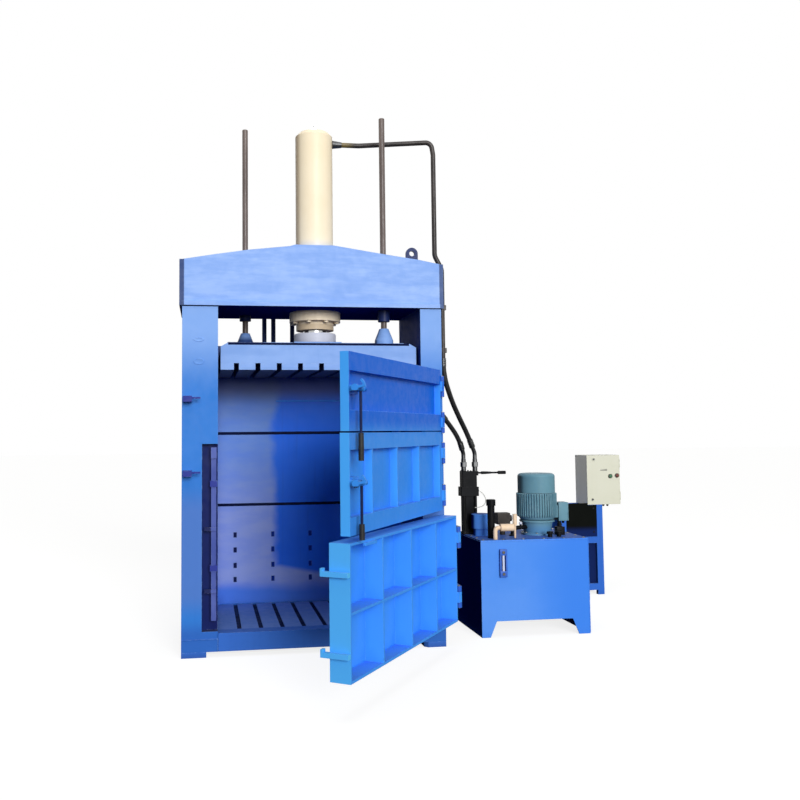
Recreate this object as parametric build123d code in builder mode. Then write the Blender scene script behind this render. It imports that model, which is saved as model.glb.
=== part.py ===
from build123d import *
from math import cos, pi, radians, sin, tan
import os

os.makedirs("parts", exist_ok=True)

# Overall frame: origin on the floor at the centre of the foot holes, doors toward -Y
press_width = 1800
base_depth = 1060
column_depth = 670
foot_thickness = 36
foot_length = 165
right_foot_width = 150
foot_hole_radius = 8.75
foot_hole_depth = 30
floor_top = 156
floor_plate = 20
left_column_width = 240
right_column_width = 152
column_wall = 12

# Heights up from the open mouth: platen, ram flange, gland, crosshead
platen_bottom = 1912
platen_bar_depth = 46
platen_box_depth = 142
platen_pad = 20
ram_flange_depth = 70
gland_gap = 25
gland_length = 60
gland_flange_depth = 70
platen_seam = platen_bottom + platen_bar_depth
platen_top = platen_seam + platen_box_depth
pad_top = platen_top + platen_pad
ram_flange_top = pad_top + ram_flange_depth
gland_bottom = ram_flange_top + gland_gap
gland_flange_bottom = gland_bottom + gland_length
column_top = gland_flange_bottom + gland_flange_depth

x_left = -press_width / 2
x_right = press_width / 2
y_front = -base_depth / 2
y_back = base_depth / 2
y_column_back = y_front + column_depth
chamber_left = x_left + left_column_width
chamber_right = x_right - right_column_width
chamber_back = y_back - 87
wall_plate = 12
wall_drop = 179
wall_top = column_top - wall_drop
seam_low = 920
seam_high = 1477

# Lock recess in the left column
recess_width = 106
recess_left = chamber_left - recess_width
recess_depth = 65
recess_bottom = 168
recess_top = 1408

# Tie slots in the floor and under the platen
slot_count = 9
slot_width = 30
slot_first = chamber_left + 148
slot_last = chamber_right - 84
slot_pitch = (slot_last - slot_first) / (slot_count - 1)
slot_front_margin = 110
platen_slot_shift = -22
platen_slot_width = 34
plug_heights = [344, 452, 571, 687]

# Crosshead
head_plate = 20
head_base = 28
head_side_rise = 315
head_side_top = column_top + head_side_rise
head_lip = 12
crown_rise = 432
ram_x = 44.5
ram_y = -195
ridge = [(x_right, head_side_top), (x_right - 147, column_top + 343), (x_right - 435, column_top + 383),
         (ram_x + 94.5, column_top + crown_rise), (ram_x - 177.5, column_top + crown_rise),
         (ram_x - 212.5, column_top + 421), (x_left + 457, column_top + 390),
         (x_left + 219, column_top + 353), (x_left, head_side_top)]

# Cylinder
barrel_radius = 136
bore_radius = 110
cap_thickness = 60
cap_chamfer = 30
ram_radius = 90
ram_clearance = 0.08
piston_clearance = 0.05
piston_height = 90
gland_radius = 136
gland_flange_radius = 185
gland_spigot = 90
gland_bolt_circle = 161
gland_bolt_count = 8
gland_bolt_start = 22.5
gland_bolt_radius = 10
gland_bolt_grip = 20
stroke = 900
piston_reserve = 185
piston_gap = 10
piston_bottom = column_top + gland_spigot + stroke + piston_reserve
barrel_top = piston_bottom + piston_height + piston_gap + cap_thickness

# Platen and guide rods
platen_left = chamber_left + 18.5
platen_right = chamber_right - 17.5
platen_front = -470
platen_back = 425
platen_wall = 15
ram_flange_radius = 152
guide_radius = 21
guide_clearance = 0.08
guide_reserve = 505
guide_top = column_top + stroke + guide_reserve
guide_left = (-452, -15)
guide_right = (518, -380)
socket_foot_radius = 66
socket_top_radius = 33
socket_rise = 113
socket_top = platen_top + socket_rise
bush_radius = 42

# Doors, measured along each leaf from its hinge axis
upper_open = 57.5
lower_open = 54.4
upper_hinge = (x_right - 20, y_front - 58)
lower_hinge = (x_right + 58, y_front - 125)
upper_width = upper_hinge[0] - (x_left + 131)
lower_width = lower_hinge[0] - (x_left + 188)
upper_start = 24
lower_start = 27
top_leaf_z = (1484, 1904)
middle_leaf_z = (940, 1476)
lower_leaf_z = (200.5, 908)
top_leaf_depth = 50
middle_leaf_depth = 54
lower_leaf_depth = 120
upper_knuckle = 17
lower_knuckle = 20
upper_pin = 9
lower_pin = 11
pin_clearance = 0.08
knuckle_gap = 1.5
leaf_skin = 8
leaf_plate = 12

# Latch levers on the two upper leaves
lever_back = 60
lever_u = upper_width - lever_back
lever_out = 42
lever_rod = 7.5
grip_radius = 14.5
spindle_radius = 9
spindle_clearance = 0.06
claw_gap = 6
claw_width = 19
claw_u = (upper_width + claw_gap, upper_width + claw_gap + claw_width)
claw_hub = 20
claw_inner = 48
claw_outer = 60

# Lock bar of the lower leaf
bar_width = 34
bar_depth = 30
bar_right = chamber_left - 11
bar_left = bar_right - bar_width
bar_front = y_front + 15
bar_back = bar_front + bar_depth
bar_bottom = 235
bar_top = 1384
bar_drop = 60
bar_clearance = 0.5
lug_heights = [340, 750]
lug_thickness = 26

# Oil power pack
tank_left = 1220
tank_right = 2040
tank_front = -340
tank_back = 290
tank_top = 690
tank_floor = 128
tank_sheet = 6
tank_lid = 10
motor_x = tank_left + 550
motor_y = -30
motor_radius = 152
shaft_radius = 16
shaft_clearance = 0.08
valve_x = tank_left + 53.5
valve_y = 105
valve_bottom = tank_top + 290
valve_height = 190
valve_top = valve_bottom + valve_height

# Pipes and hoses
pipe_radius = 18
drop_x = x_right + 103
pipe_end = 2020
outer_hose_diameter = 38
inner_hose_diameter = 36
outer_port = (valve_x + 54.5, valve_y)
inner_port = (valve_x - 36.5, valve_y)
port_top = valve_top + 95

# Control stand
stand_left = 2430
stand_right = 2828
stand_front = 1070
stand_back = 1320
box_left = 2689
box_right = 3014
box_bottom = 805
box_top = 1250
box_sheet = 3
box_door = 18


def slab(x, y, z, mode=Mode.ADD):
    with Locations(((x[0] + x[1]) / 2, (y[0] + y[1]) / 2, (z[0] + z[1]) / 2)):
        Box(x[1] - x[0], y[1] - y[0], z[1] - z[0], mode=mode)


def post(x, y, z, radius, mode=Mode.ADD):
    with Locations((x, y, (z[0] + z[1]) / 2)):
        Cylinder(radius, z[1] - z[0], mode=mode)


def rod_y(x, z, y, radius, mode=Mode.ADD):
    with Locations((x, (y[0] + y[1]) / 2, z)):
        Cylinder(radius, y[1] - y[0], rotation=(90, 0, 0), mode=mode)


def rod_x(y, z, x, radius, mode=Mode.ADD):
    with Locations(((x[0] + x[1]) / 2, y, z)):
        Cylinder(radius, x[1] - x[0], rotation=(0, 90, 0), mode=mode)


def taper(x, y, z, low, high, mode=Mode.ADD):
    with Locations((x, y, (z[0] + z[1]) / 2)):
        Cone(low, high, z[1] - z[0], mode=mode)


def leaf_frame(hinge, angle):
    run = (-cos(radians(angle)), -sin(radians(angle)), 0)
    return Plane(origin=(hinge[0], hinge[1], 0), x_dir=run, z_dir=(0, 0, 1))


def bend_radii(points):
    radii = []
    for before, corner, after in zip(points, points[1:], points[2:]):
        first = Vector(*corner) - Vector(*before)
        second = Vector(*after) - Vector(*corner)
        half = radians(first.get_angle(second)) / 2
        radii.append(0.45 * min(first.length, second.length) / tan(half))
    return radii


slots = [slot_first + slot_pitch * k for k in range(slot_count)]
top_plane = leaf_frame(upper_hinge, upper_open)
lower_plane = leaf_frame(lower_hinge, lower_open)

# Columns
pipe_y = -195
rod_pipe_x = x_right - right_column_width / 2
rod_pipe_y = -60
rod_pipe_z = 1648
rod_pipe_radius = 14
with BuildPart() as columns:
    slab((x_left, chamber_left), (y_front, y_column_back), (foot_thickness, column_top))
    slab((x_left + column_wall, chamber_left - column_wall),
         (y_front + column_wall, y_column_back - column_wall),
         (foot_thickness, column_top), mode=Mode.SUBTRACT)
    slab((recess_left - column_wall, chamber_left), (y_front, y_front + recess_depth + column_wall),
         (recess_bottom - column_wall, recess_top + column_wall))
    slab((recess_left, chamber_left), (y_front, y_front + recess_depth), (recess_bottom, recess_top),
         mode=Mode.SUBTRACT)
    slab((chamber_right, x_right), (y_front, y_column_back), (foot_thickness, column_top))
    slab((chamber_right + column_wall, x_right - column_wall),
         (y_front + column_wall, y_column_back - column_wall),
         (foot_thickness, column_top), mode=Mode.SUBTRACT)
    rod_x(rod_pipe_y, rod_pipe_z, (x_right - 2 * column_wall, x_right + column_wall), rod_pipe_radius + 1,
          mode=Mode.SUBTRACT)
columns.part.label = "columns"
export_step(columns.part, "parts/columns.step")

# Base: beams, bearers and the four foot pads
foot_x = 820
foot_y = 450
slat_front = y_front + slot_front_margin
with BuildPart() as base_frame:
    slab((chamber_left, chamber_right), (y_front, y_front + floor_plate), (foot_thickness, floor_top))
    slab((chamber_left, chamber_right), (y_front + floor_plate, slat_front), (floor_top - floor_plate, floor_top))
    for bearer in (-300, -60, 180):
        slab((chamber_left, chamber_right), (bearer, bearer + floor_plate),
             (foot_thickness, floor_top - floor_plate))
    slab((chamber_left, chamber_right), (y_back - 75, y_back), (foot_thickness, floor_top - floor_plate))
    slab((x_left, chamber_left), (y_column_back, y_back), (foot_thickness, floor_top - floor_plate))
    slab((chamber_right, x_right), (y_column_back, y_back), (foot_thickness, floor_top - floor_plate))
base_frame.part.label = "base_frame"
export_step(base_frame.part, "parts/base_frame.step")

with BuildPart() as foot_pads:
    for y in ((y_front, y_front + foot_length), (y_back - foot_length, y_back)):
        slab((x_left, x_left + foot_length), y, (0, foot_thickness))
        slab((x_right - right_foot_width, x_right), y, (0, foot_thickness))
    corners = foot_pads.edges().filter_by(Axis.Z).group_by(Axis.X)[2]
    chamfer(corners, 24)
    with Locations((-foot_x, -foot_y), (foot_x, -foot_y), (-foot_x, foot_y), (foot_x, foot_y)):
        Cylinder(foot_hole_radius, 2 * foot_hole_depth, mode=Mode.SUBTRACT)
foot_pads.part.label = "foot_pads"
export_step(foot_pads.part, "parts/foot_pads.step")

# Floor: ten slats with a tie slot between each pair
with BuildPart() as floor_slats:
    edges = [chamber_left] + slots + [chamber_right]
    for k in range(len(edges) - 1):
        left = edges[k] if k == 0 else edges[k] + slot_width / 2
        right = edges[k + 1] if k == slot_count else edges[k + 1] - slot_width / 2
        slab((left, right), (slat_front, chamber_back), (floor_top - floor_plate, floor_top))
floor_slats.part.label = "floor_slats"
export_step(floor_slats.part, "parts/floor_slats.step")

# Chamber walls behind the columns: side plates and three back plates
plug_height = 40
plug_width = 25
stiffener_slots = slots[::2]
wall_left = chamber_left - wall_plate
wall_right = chamber_right + wall_plate
back_plate = (chamber_back, chamber_back + wall_plate)
seam_gap = 1
with BuildPart() as chamber_walls:
    slab((wall_left, chamber_left), (y_column_back, chamber_back), (floor_top - floor_plate, wall_top))
    slab((chamber_right, wall_right), (y_column_back, chamber_back), (floor_top - floor_plate, wall_top))
    slab((wall_left, wall_right), back_plate, (floor_top - floor_plate, seam_low - seam_gap))
    slab((wall_left, wall_right), back_plate, (seam_low, seam_high - seam_gap))
    slab((wall_left, wall_right), back_plate, (seam_high, wall_top))
    for x in stiffener_slots:
        for z in plug_heights:
            slab((x - plug_width / 2, x + plug_width / 2), back_plate,
                 (z - plug_height / 2, z + plug_height / 2), mode=Mode.SUBTRACT)
chamber_walls.part.label = "chamber_walls"
export_step(chamber_walls.part, "parts/chamber_walls.step")

stiffener_width = 60
with BuildPart() as rear_stiffeners:
    for x in stiffener_slots:
        slab((x - stiffener_width / 2, x + stiffener_width / 2), (chamber_back + wall_plate, y_back - 10),
             (floor_top - floor_plate, wall_top - 60))
    slab((wall_left, wall_right), (chamber_back + wall_plate, y_back - 10), (wall_top - 60, wall_top))
rear_stiffeners.part.label = "rear_stiffeners"
export_step(rear_stiffeners.part, "parts/rear_stiffeners.step")

# Crosshead
face_bottom = column_top + head_base
with BuildPart() as crosshead_base:
    slab((x_left, x_right), (y_front - head_lip, y_column_back + head_lip), (column_top, face_bottom))
    post(ram_x, ram_y, (column_top, face_bottom), barrel_radius + 1, mode=Mode.SUBTRACT)
    for x, y in (guide_left, guide_right):
        post(x, y, (column_top, face_bottom), bush_radius, mode=Mode.SUBTRACT)
    post(rod_pipe_x, rod_pipe_y, (column_top, face_bottom), rod_pipe_radius + 4, mode=Mode.SUBTRACT)
    with Locations((ram_x, ram_y, column_top)):
        with PolarLocations(gland_bolt_circle, gland_bolt_count, gland_bolt_start):
            Cylinder(gland_bolt_radius, 2 * gland_bolt_grip, mode=Mode.SUBTRACT)
crosshead_base.part.label = "crosshead_base"
export_step(crosshead_base.part, "parts/crosshead_base.step")

face_outline = [(x_left, face_bottom), (x_right, face_bottom)] + ridge
head_inner = (y_front + head_plate, y_column_back - head_plate)
lower_ridge = [(x, z - head_plate) for x, z in reversed(ridge)]
web_height = head_side_top - head_plate
rod_port_z = column_top + 95
roof_cut = (head_side_top - 60, column_top + crown_rise + 23)
with BuildPart() as crosshead_shell:
    with BuildSketch(Plane.XZ.offset(-y_front)) as front_face:
        with BuildLine():
            Polyline(*face_outline, close=True)
        make_face()
    extrude(amount=-head_plate)
    with BuildSketch(Plane.XZ.offset(-y_column_back)) as rear_face:
        with BuildLine():
            Polyline(*face_outline, close=True)
        make_face()
    extrude(amount=head_plate)
    with BuildSketch(Plane.XZ.offset(-head_inner[1])) as roof_profile:
        with BuildLine():
            Polyline(*(ridge + lower_ridge), close=True)
        make_face()
    extrude(amount=head_inner[1] - head_inner[0])
    for x in ((x_left - head_plate, x_left), (x_right, x_right + head_plate)):
        slab(x, (y_front, y_column_back), (column_top, head_side_top))
    post(ram_x, ram_y, (face_bottom, roof_cut[1]), barrel_radius + 3, mode=Mode.SUBTRACT)
    for x, y in (guide_left, guide_right):
        post(x, y, roof_cut, guide_radius + 6, mode=Mode.SUBTRACT)
    for x in (ram_x - 190, ram_x + 190, chamber_left, chamber_right):
        slab((x - head_plate / 2, x + head_plate / 2), head_inner, (face_bottom, web_height))
    for y in (pipe_y, rod_pipe_y):
        rod_x(y, rod_port_z, (ram_x, chamber_right + head_plate), rod_pipe_radius + 4, mode=Mode.SUBTRACT)
crosshead_shell.part.label = "crosshead_shell"
export_step(crosshead_shell.part, "parts/crosshead_shell.step")

lug_x = x_right - 110
lug_y = -130
lug_plate = 25
lug_eye = column_top + 470
lug_hole = 20
lug_radius = 45


def roof_at(x):
    for first, second in zip(ridge, ridge[1:]):
        if second[0] <= x <= first[0]:
            return first[1] + (second[1] - first[1]) * (x - first[0]) / (second[0] - first[0])


lug_foot = [(x, roof_at(x)) for x in (lug_x - lug_radius, ridge[1][0], lug_x + lug_radius)]
with BuildPart() as lifting_lug:
    with BuildSketch(Plane.XZ.offset(-lug_y + lug_plate / 2)) as lug_outline:
        with BuildLine():
            Polyline((lug_x - lug_radius, lug_eye), *lug_foot, (lug_x + lug_radius, lug_eye))
            RadiusArc((lug_x + lug_radius, lug_eye), (lug_x - lug_radius, lug_eye), -lug_radius)
        make_face()
        with Locations((lug_x, lug_eye)):
            Circle(lug_hole, mode=Mode.SUBTRACT)
    extrude(amount=-lug_plate)
lifting_lug.part.label = "lifting_lug"
export_step(lifting_lug.part, "parts/lifting_lug.step")

# Struts between the rear rail and a bracket behind the crosshead
strut_y = y_back - 40
strut_radius = 18
strut_top = column_top + 135
strut_xs = (-277, -205, -53)
with BuildPart() as rear_struts:
    for x in strut_xs:
        post(x, strut_y, (wall_top, strut_top), strut_radius)
    slab((-330, 0), (y_column_back, strut_y + 30), (strut_top, strut_top + head_plate))
    for x in (-330, -head_plate):
        with BuildSketch(Plane.YZ.offset(x)) as gusset_side:
            with BuildLine():
                Polyline((y_column_back, strut_top), (y_column_back, face_bottom),
                         (strut_y - 60, strut_top), close=True)
            make_face()
        extrude(amount=head_plate)
rear_struts.part.label = "rear_struts"
export_step(rear_struts.part, "parts/rear_struts.step")

# Cylinder
eye_width = 40
eye_plate = 14
eye_top = barrel_top + 72
cap_port_z = barrel_top - 75
with BuildPart() as cylinder_barrel:
    post(ram_x, ram_y, (column_top, barrel_top), barrel_radius)
    chamfer(cylinder_barrel.faces().sort_by(Axis.Z)[-1].edges(), cap_chamfer)
    post(ram_x, ram_y, (column_top, barrel_top - cap_thickness), bore_radius, mode=Mode.SUBTRACT)
    rod_x(pipe_y, cap_port_z, (ram_x + bore_radius - 8, ram_x + barrel_radius + 4), rod_pipe_radius,
          mode=Mode.SUBTRACT)
    rod_x(pipe_y, rod_port_z, (ram_x + bore_radius - 8, ram_x + barrel_radius + 4), rod_pipe_radius - 2,
          mode=Mode.SUBTRACT)
cylinder_barrel.part.label = "cylinder_barrel"
export_step(cylinder_barrel.part, "parts/cylinder_barrel.step")

with BuildPart() as cylinder_eye:
    with BuildSketch(Plane.XZ.offset(-ram_y + eye_plate / 2)) as eye_outline:
        with Locations((ram_x, (barrel_top + eye_top) / 2 - eye_width / 4)):
            Rectangle(eye_width, eye_top - barrel_top - eye_width / 2)
        with Locations((ram_x, eye_top - eye_width / 2)):
            Circle(eye_width / 2)
            Circle(eye_width / 4, mode=Mode.SUBTRACT)
    extrude(amount=-eye_plate)
cylinder_eye.part.label = "cylinder_eye"
export_step(cylinder_eye.part, "parts/cylinder_eye.step")

with BuildPart() as gland:
    post(ram_x, ram_y, (gland_bottom, gland_flange_bottom), gland_radius)
    post(ram_x, ram_y, (gland_flange_bottom, column_top), gland_flange_radius)
    post(ram_x, ram_y, (column_top, column_top + gland_spigot), bore_radius)
    post(ram_x, ram_y, (gland_bottom, column_top + gland_spigot), ram_radius + ram_clearance,
         mode=Mode.SUBTRACT)
    with Locations((ram_x, ram_y, column_top)):
        with PolarLocations(gland_bolt_circle, gland_bolt_count, gland_bolt_start):
            Cylinder(gland_bolt_radius + 1, 2 * (column_top - gland_flange_bottom), mode=Mode.SUBTRACT)
gland.part.label = "gland"
export_step(gland.part, "parts/gland.step")

with BuildPart() as gland_bolts:
    with Locations((ram_x, ram_y, gland_flange_bottom)):
        with PolarLocations(gland_bolt_circle, gland_bolt_count, gland_bolt_start):
            Cylinder(gland_bolt_radius, column_top - gland_flange_bottom + gland_bolt_grip,
                     align=(Align.CENTER, Align.CENTER, Align.MIN))
    with BuildSketch(Plane.XY.offset(gland_flange_bottom)) as bolt_heads:
        with Locations((ram_x, ram_y)):
            with PolarLocations(gland_bolt_circle, gland_bolt_count, gland_bolt_start):
                RegularPolygon(15, 6, major_radius=False)
    extrude(amount=-13)
gland_bolts.part.label = "gland_bolts"
export_step(gland_bolts.part, "parts/gland_bolts.step")

with BuildPart() as ram:
    post(ram_x, ram_y, (ram_flange_top, piston_bottom), ram_radius)
    post(ram_x, ram_y, (piston_bottom, piston_bottom + piston_height), bore_radius - piston_clearance)
ram.part.label = "ram"
export_step(ram.part, "parts/ram.step")

with BuildPart() as ram_flange:
    post(ram_x, ram_y, (pad_top, ram_flange_top), ram_flange_radius)
    chamfer(ram_flange.faces().sort_by(Axis.Z)[-1].edges(), 4)
ram_flange.part.label = "ram_flange"
export_step(ram_flange.part, "parts/ram_flange.step")

# Guide rods and their bushes in the crosshead
with BuildPart() as guide_rods:
    for x, y in (guide_left, guide_right):
        post(x, y, (platen_top, guide_top), guide_radius)
    chamfer(guide_rods.faces().filter_by(Plane.XY).sort_by(Axis.Z)[-2:].edges(), 3)
guide_rods.part.label = "guide_rods"
export_step(guide_rods.part, "parts/guide_rods.step")

bush_rise = 40
bush_bottoms = (column_top - 40, column_top - 81)
with BuildPart() as rod_bushes:
    for (x, y), bottom in zip((guide_left, guide_right), bush_bottoms):
        post(x, y, (bottom, face_bottom + bush_rise), bush_radius)
        post(x, y, (bottom, face_bottom + bush_rise), guide_radius + guide_clearance, mode=Mode.SUBTRACT)
rod_bushes.part.label = "rod_bushes"
export_step(rod_bushes.part, "parts/rod_bushes.step")

# Platen with the sockets of the guide rods
socket_foot = 30
shoulder_x = 50
shoulder_z = 28
with BuildPart() as platen_body:
    with BuildSketch(Plane.XZ.offset(-platen_front)) as platen_face:
        with BuildLine():
            Polyline((platen_left, platen_seam), (platen_right, platen_seam),
                     (platen_right, platen_top - shoulder_z), (platen_right - shoulder_x, platen_top),
                     (platen_left + shoulder_x, platen_top), (platen_left, platen_top - shoulder_z),
                     close=True)
        make_face()
    extrude(amount=platen_front - platen_back)
    web_xs = [platen_left + shoulder_x, ram_x - 160, ram_x + 160, platen_right - shoulder_x]
    for left, right in zip(web_xs, web_xs[1:]):
        slab((left + platen_wall, right - platen_wall),
             (platen_front + platen_wall, platen_back - platen_wall),
             (platen_seam, platen_top - platen_wall), mode=Mode.SUBTRACT)
    slab((platen_left + 51.5, platen_right - 50.5), (ram_y - 110, ram_y + 100), (platen_top, pad_top))
    slab((ram_x - 170, ram_x + 170), (ram_y - 170, ram_y + 170), (platen_top, pad_top))
    for x, y in (guide_left, guide_right):
        post(x, y, (platen_top, platen_top + socket_foot), socket_foot_radius)
        taper(x, y, (platen_top + socket_foot, socket_top), socket_foot_radius, socket_top_radius)
        post(x, y, (platen_top, socket_top), guide_radius, mode=Mode.SUBTRACT)
platen_body.part.label = "platen_body"
export_step(platen_body.part, "parts/platen_body.step")

with BuildPart() as platen_bars:
    edges = [platen_left] + [x + platen_slot_shift for x in slots] + [platen_right]
    for k in range(len(edges) - 1):
        left = edges[k] if k == 0 else edges[k] + platen_slot_width / 2
        right = edges[k + 1] if k == slot_count else edges[k + 1] - platen_slot_width / 2
        slab((left, right), (platen_front, platen_back), (platen_bottom, platen_seam))
platen_bars.part.label = "platen_bars"
export_step(platen_bars.part, "parts/platen_bars.step")

# Hinges: fixed brackets, fixed pins and the knuckles that turn with each leaf
knuckle = 70
top_knuckles = [1540, 1790]
middle_knuckles = [1040, 1330]
lower_knuckles = [360, 760]


def fixed_levels(levels, reach):
    pairs = []
    for z in levels:
        pairs.append((z - knuckle / 2 - knuckle_gap - reach, z - knuckle / 2 - knuckle_gap))
        pairs.append((z + knuckle / 2 + knuckle_gap, z + knuckle / 2 + knuckle_gap + reach))
    return pairs


bracket_height = 35
with BuildPart() as hinge_brackets:
    for z in fixed_levels(top_knuckles + middle_knuckles, bracket_height):
        slab((upper_hinge[0] - upper_knuckle, upper_hinge[0] + upper_knuckle),
             (upper_hinge[1], y_front), z)
        post(*upper_hinge, z, upper_knuckle)
        post(*upper_hinge, z, upper_pin, mode=Mode.SUBTRACT)
    for z in fixed_levels(lower_knuckles, bracket_height):
        with BuildSketch(Plane.XY.offset(z[0])) as bracket_outline:
            with BuildLine():
                Polyline((x_right, y_front), (lower_hinge[0] - lower_knuckle, y_front - 3),
                         (lower_hinge[0] - lower_knuckle, lower_hinge[1]),
                         (lower_hinge[0] + lower_knuckle, lower_hinge[1]),
                         (lower_hinge[0] + lower_knuckle, y_front + 30),
                         (x_right + 20, y_front + 130), (x_right, y_front + 130), close=True)
            make_face()
            with Locations(lower_hinge):
                Circle(lower_knuckle)
                Circle(lower_pin, mode=Mode.SUBTRACT)
        extrude(amount=bracket_height)
hinge_brackets.part.label = "hinge_brackets"
export_step(hinge_brackets.part, "parts/hinge_brackets.step")

pin_over = bracket_height + knuckle / 2 + knuckle_gap + 4
with BuildPart() as hinge_pins:
    for z in top_knuckles + middle_knuckles:
        post(*upper_hinge, (z - pin_over, z + pin_over), upper_pin)
    for z in lower_knuckles:
        post(*lower_hinge, (z - pin_over, z + pin_over), lower_pin)
hinge_pins.part.label = "hinge_pins"
export_step(hinge_pins.part, "parts/hinge_pins.step")


# Leaf pieces are drawn along the leaf, outward from it, and up
def knuckles(levels, radius, pin, start):
    for z in levels:
        slab((0, start + 6), (-radius, radius - 4), (z - knuckle / 2, z + knuckle / 2))
        post(0, 0, (z - knuckle / 2, z + knuckle / 2), radius)
        post(0, 0, (z - knuckle / 2, z + knuckle / 2), pin + pin_clearance, mode=Mode.SUBTRACT)


pad_back = 121
boss_width = 25
boss_radius = 16
boss_starts = (upper_width - 114, upper_width - 31)


def spindle_bosses(z):
    for start in boss_starts:
        u = (start, start + boss_width)
        slab(u, (-2, lever_out), (z - boss_radius, z + boss_radius))
        rod_x(lever_out, z, u, boss_radius)
        rod_x(lever_out, z, u, spindle_radius + spindle_clearance, mode=Mode.SUBTRACT)


top_rails = (100, 110)
latch_top_z = 1709
top_depth = (leaf_skin - top_leaf_depth, 0)
with BuildPart(top_plane) as top_leaf:
    slab((upper_start, upper_width), (-top_leaf_depth, leaf_skin - top_leaf_depth), top_leaf_z)
    slab((upper_start, upper_width), top_depth, (top_leaf_z[1] - top_rails[0], top_leaf_z[1]))
    slab((upper_start, upper_width), top_depth, (top_leaf_z[0], top_leaf_z[0] + top_rails[1]))
    slab((upper_start, upper_start + leaf_plate), top_depth, top_leaf_z)
    slab((upper_width - leaf_plate, upper_width), top_depth, top_leaf_z)
    slab((upper_width - pad_back, upper_width), top_depth, (latch_top_z - 30, latch_top_z + 30))
    knuckles(top_knuckles, upper_knuckle, upper_pin, upper_start)
    spindle_bosses(latch_top_z)
top_leaf.part.label = "top_leaf"
export_step(top_leaf.part, "parts/top_leaf.step")

middle_rails = (90, 96)
middle_ribs = [upper_width - back for back in (1135, 725, 321)]
latch_middle_z = 1214
middle_depth = (leaf_skin - middle_leaf_depth, 0)
with BuildPart(top_plane) as middle_leaf:
    slab((upper_start, upper_width), (-middle_leaf_depth, leaf_skin - middle_leaf_depth), middle_leaf_z)
    slab((upper_start, upper_width), middle_depth, (middle_leaf_z[1] - middle_rails[0], middle_leaf_z[1]))
    slab((upper_start, upper_width), middle_depth, (middle_leaf_z[0], middle_leaf_z[0] + middle_rails[1]))
    slab((upper_start, upper_start + 50), middle_depth, middle_leaf_z)
    slab((upper_width - leaf_plate, upper_width), middle_depth, middle_leaf_z)
    for u in middle_ribs:
        slab((u - leaf_plate, u), middle_depth, middle_leaf_z)
    slab((upper_width - pad_back, upper_width), middle_depth, (latch_middle_z - 30, latch_middle_z + 30))
    knuckles(middle_knuckles, upper_knuckle, upper_pin, upper_start)
    spindle_bosses(latch_middle_z)
middle_leaf.part.label = "middle_leaf"
export_step(middle_leaf.part, "parts/middle_leaf.step")

# The lower leaf's lugs each have an upstand that the lock bar's tooth drops in front of
lug_reach = 30
upstand = (-160, -145)
upstand_rise = 16
tray_plate = 14
lip_start = 310
lip_end = 170
mid_rail_z = 550
lower_ribs = [lower_width * k / 4 for k in (1, 2, 3)]
lower_depth = (leaf_skin - lower_leaf_depth, 0)
with BuildPart(lower_plane) as lower_leaf:
    slab((lower_start, lower_width), (-lower_leaf_depth, leaf_skin - lower_leaf_depth), lower_leaf_z)
    slab((lower_start, lower_width), lower_depth, (lower_leaf_z[1] - tray_plate, lower_leaf_z[1]))
    slab((lower_start, lower_width), lower_depth, (lower_leaf_z[0], lower_leaf_z[0] + tray_plate))
    slab((lower_start, lower_start + tray_plate), lower_depth, lower_leaf_z)
    slab((lower_width - tray_plate, lower_width), lower_depth, lower_leaf_z)
    for u in lower_ribs:
        slab((u - tray_plate / 2, u + tray_plate / 2), lower_depth, lower_leaf_z)
    slab((lower_start, lower_width), lower_depth, (mid_rail_z - tray_plate / 2, mid_rail_z + tray_plate / 2))
    slab((lower_width - lip_start, lower_width - lip_end), (-4, 12),
         (lower_leaf_z[1] - 30, lower_leaf_z[1] - tray_plate))
    knuckles(lower_knuckles, lower_knuckle, lower_pin, lower_start)
    for z in lug_heights:
        slab((lower_width, lower_width + lug_reach), (upstand[0], 0),
             (z - lug_thickness / 2, z + lug_thickness / 2))
        slab((lower_width, lower_width + lug_reach), upstand,
             (z + lug_thickness / 2, z + lug_thickness / 2 + upstand_rise))
lower_leaf.part.label = "lower_leaf"
export_step(lower_leaf.part, "parts/lower_leaf.step")

# Latch levers: spindle, claw and rod in one piece, with a grip on the rod
top_grip = (1329, 1474)
middle_grip = (918, 1000)
handle_hub = 15
spindle_over = 6
claw_reach = 54
claw_plane = Plane(origin=top_plane.from_local_coords((claw_u[0], lever_out, 0)),
                   x_dir=top_plane.y_dir, z_dir=top_plane.x_dir)
for name, z, grip in (("top_latch_lever", latch_top_z, top_grip),
                      ("middle_latch_lever", latch_middle_z, middle_grip)):
    with BuildPart(top_plane) as latch_lever:
        rod_x(lever_out, z, (boss_starts[0] - spindle_over, claw_u[1]), spindle_radius)
        rod_x(lever_out, z, (lever_u - handle_hub, lever_u + handle_hub), boss_radius)
        post(lever_u, lever_out, (grip[0] + 10, z), lever_rod)
        with BuildSketch(claw_plane) as claw_finger:
            with Locations((0, z)):
                Circle(claw_outer)
                Circle(claw_inner, mode=Mode.SUBTRACT)
            with BuildLine():
                Polyline((0, z), (1.5 * claw_outer, z + 4), (1.1 * claw_outer, z + 80), close=True)
            make_face(mode=Mode.INTERSECT)
        extrude(amount=claw_u[1] - claw_u[0])
        with BuildSketch(claw_plane) as claw_arm:
            with BuildLine():
                Polyline((0, z - 8), (claw_reach, z + 4), (claw_reach, z + 16), (0, z + 8), close=True)
            make_face()
            with Locations((0, z)):
                Circle(claw_hub)
        extrude(amount=claw_u[1] - claw_u[0])
    latch_lever.part.label = name
    export_step(latch_lever.part, f"parts/{name}.step")

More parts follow.
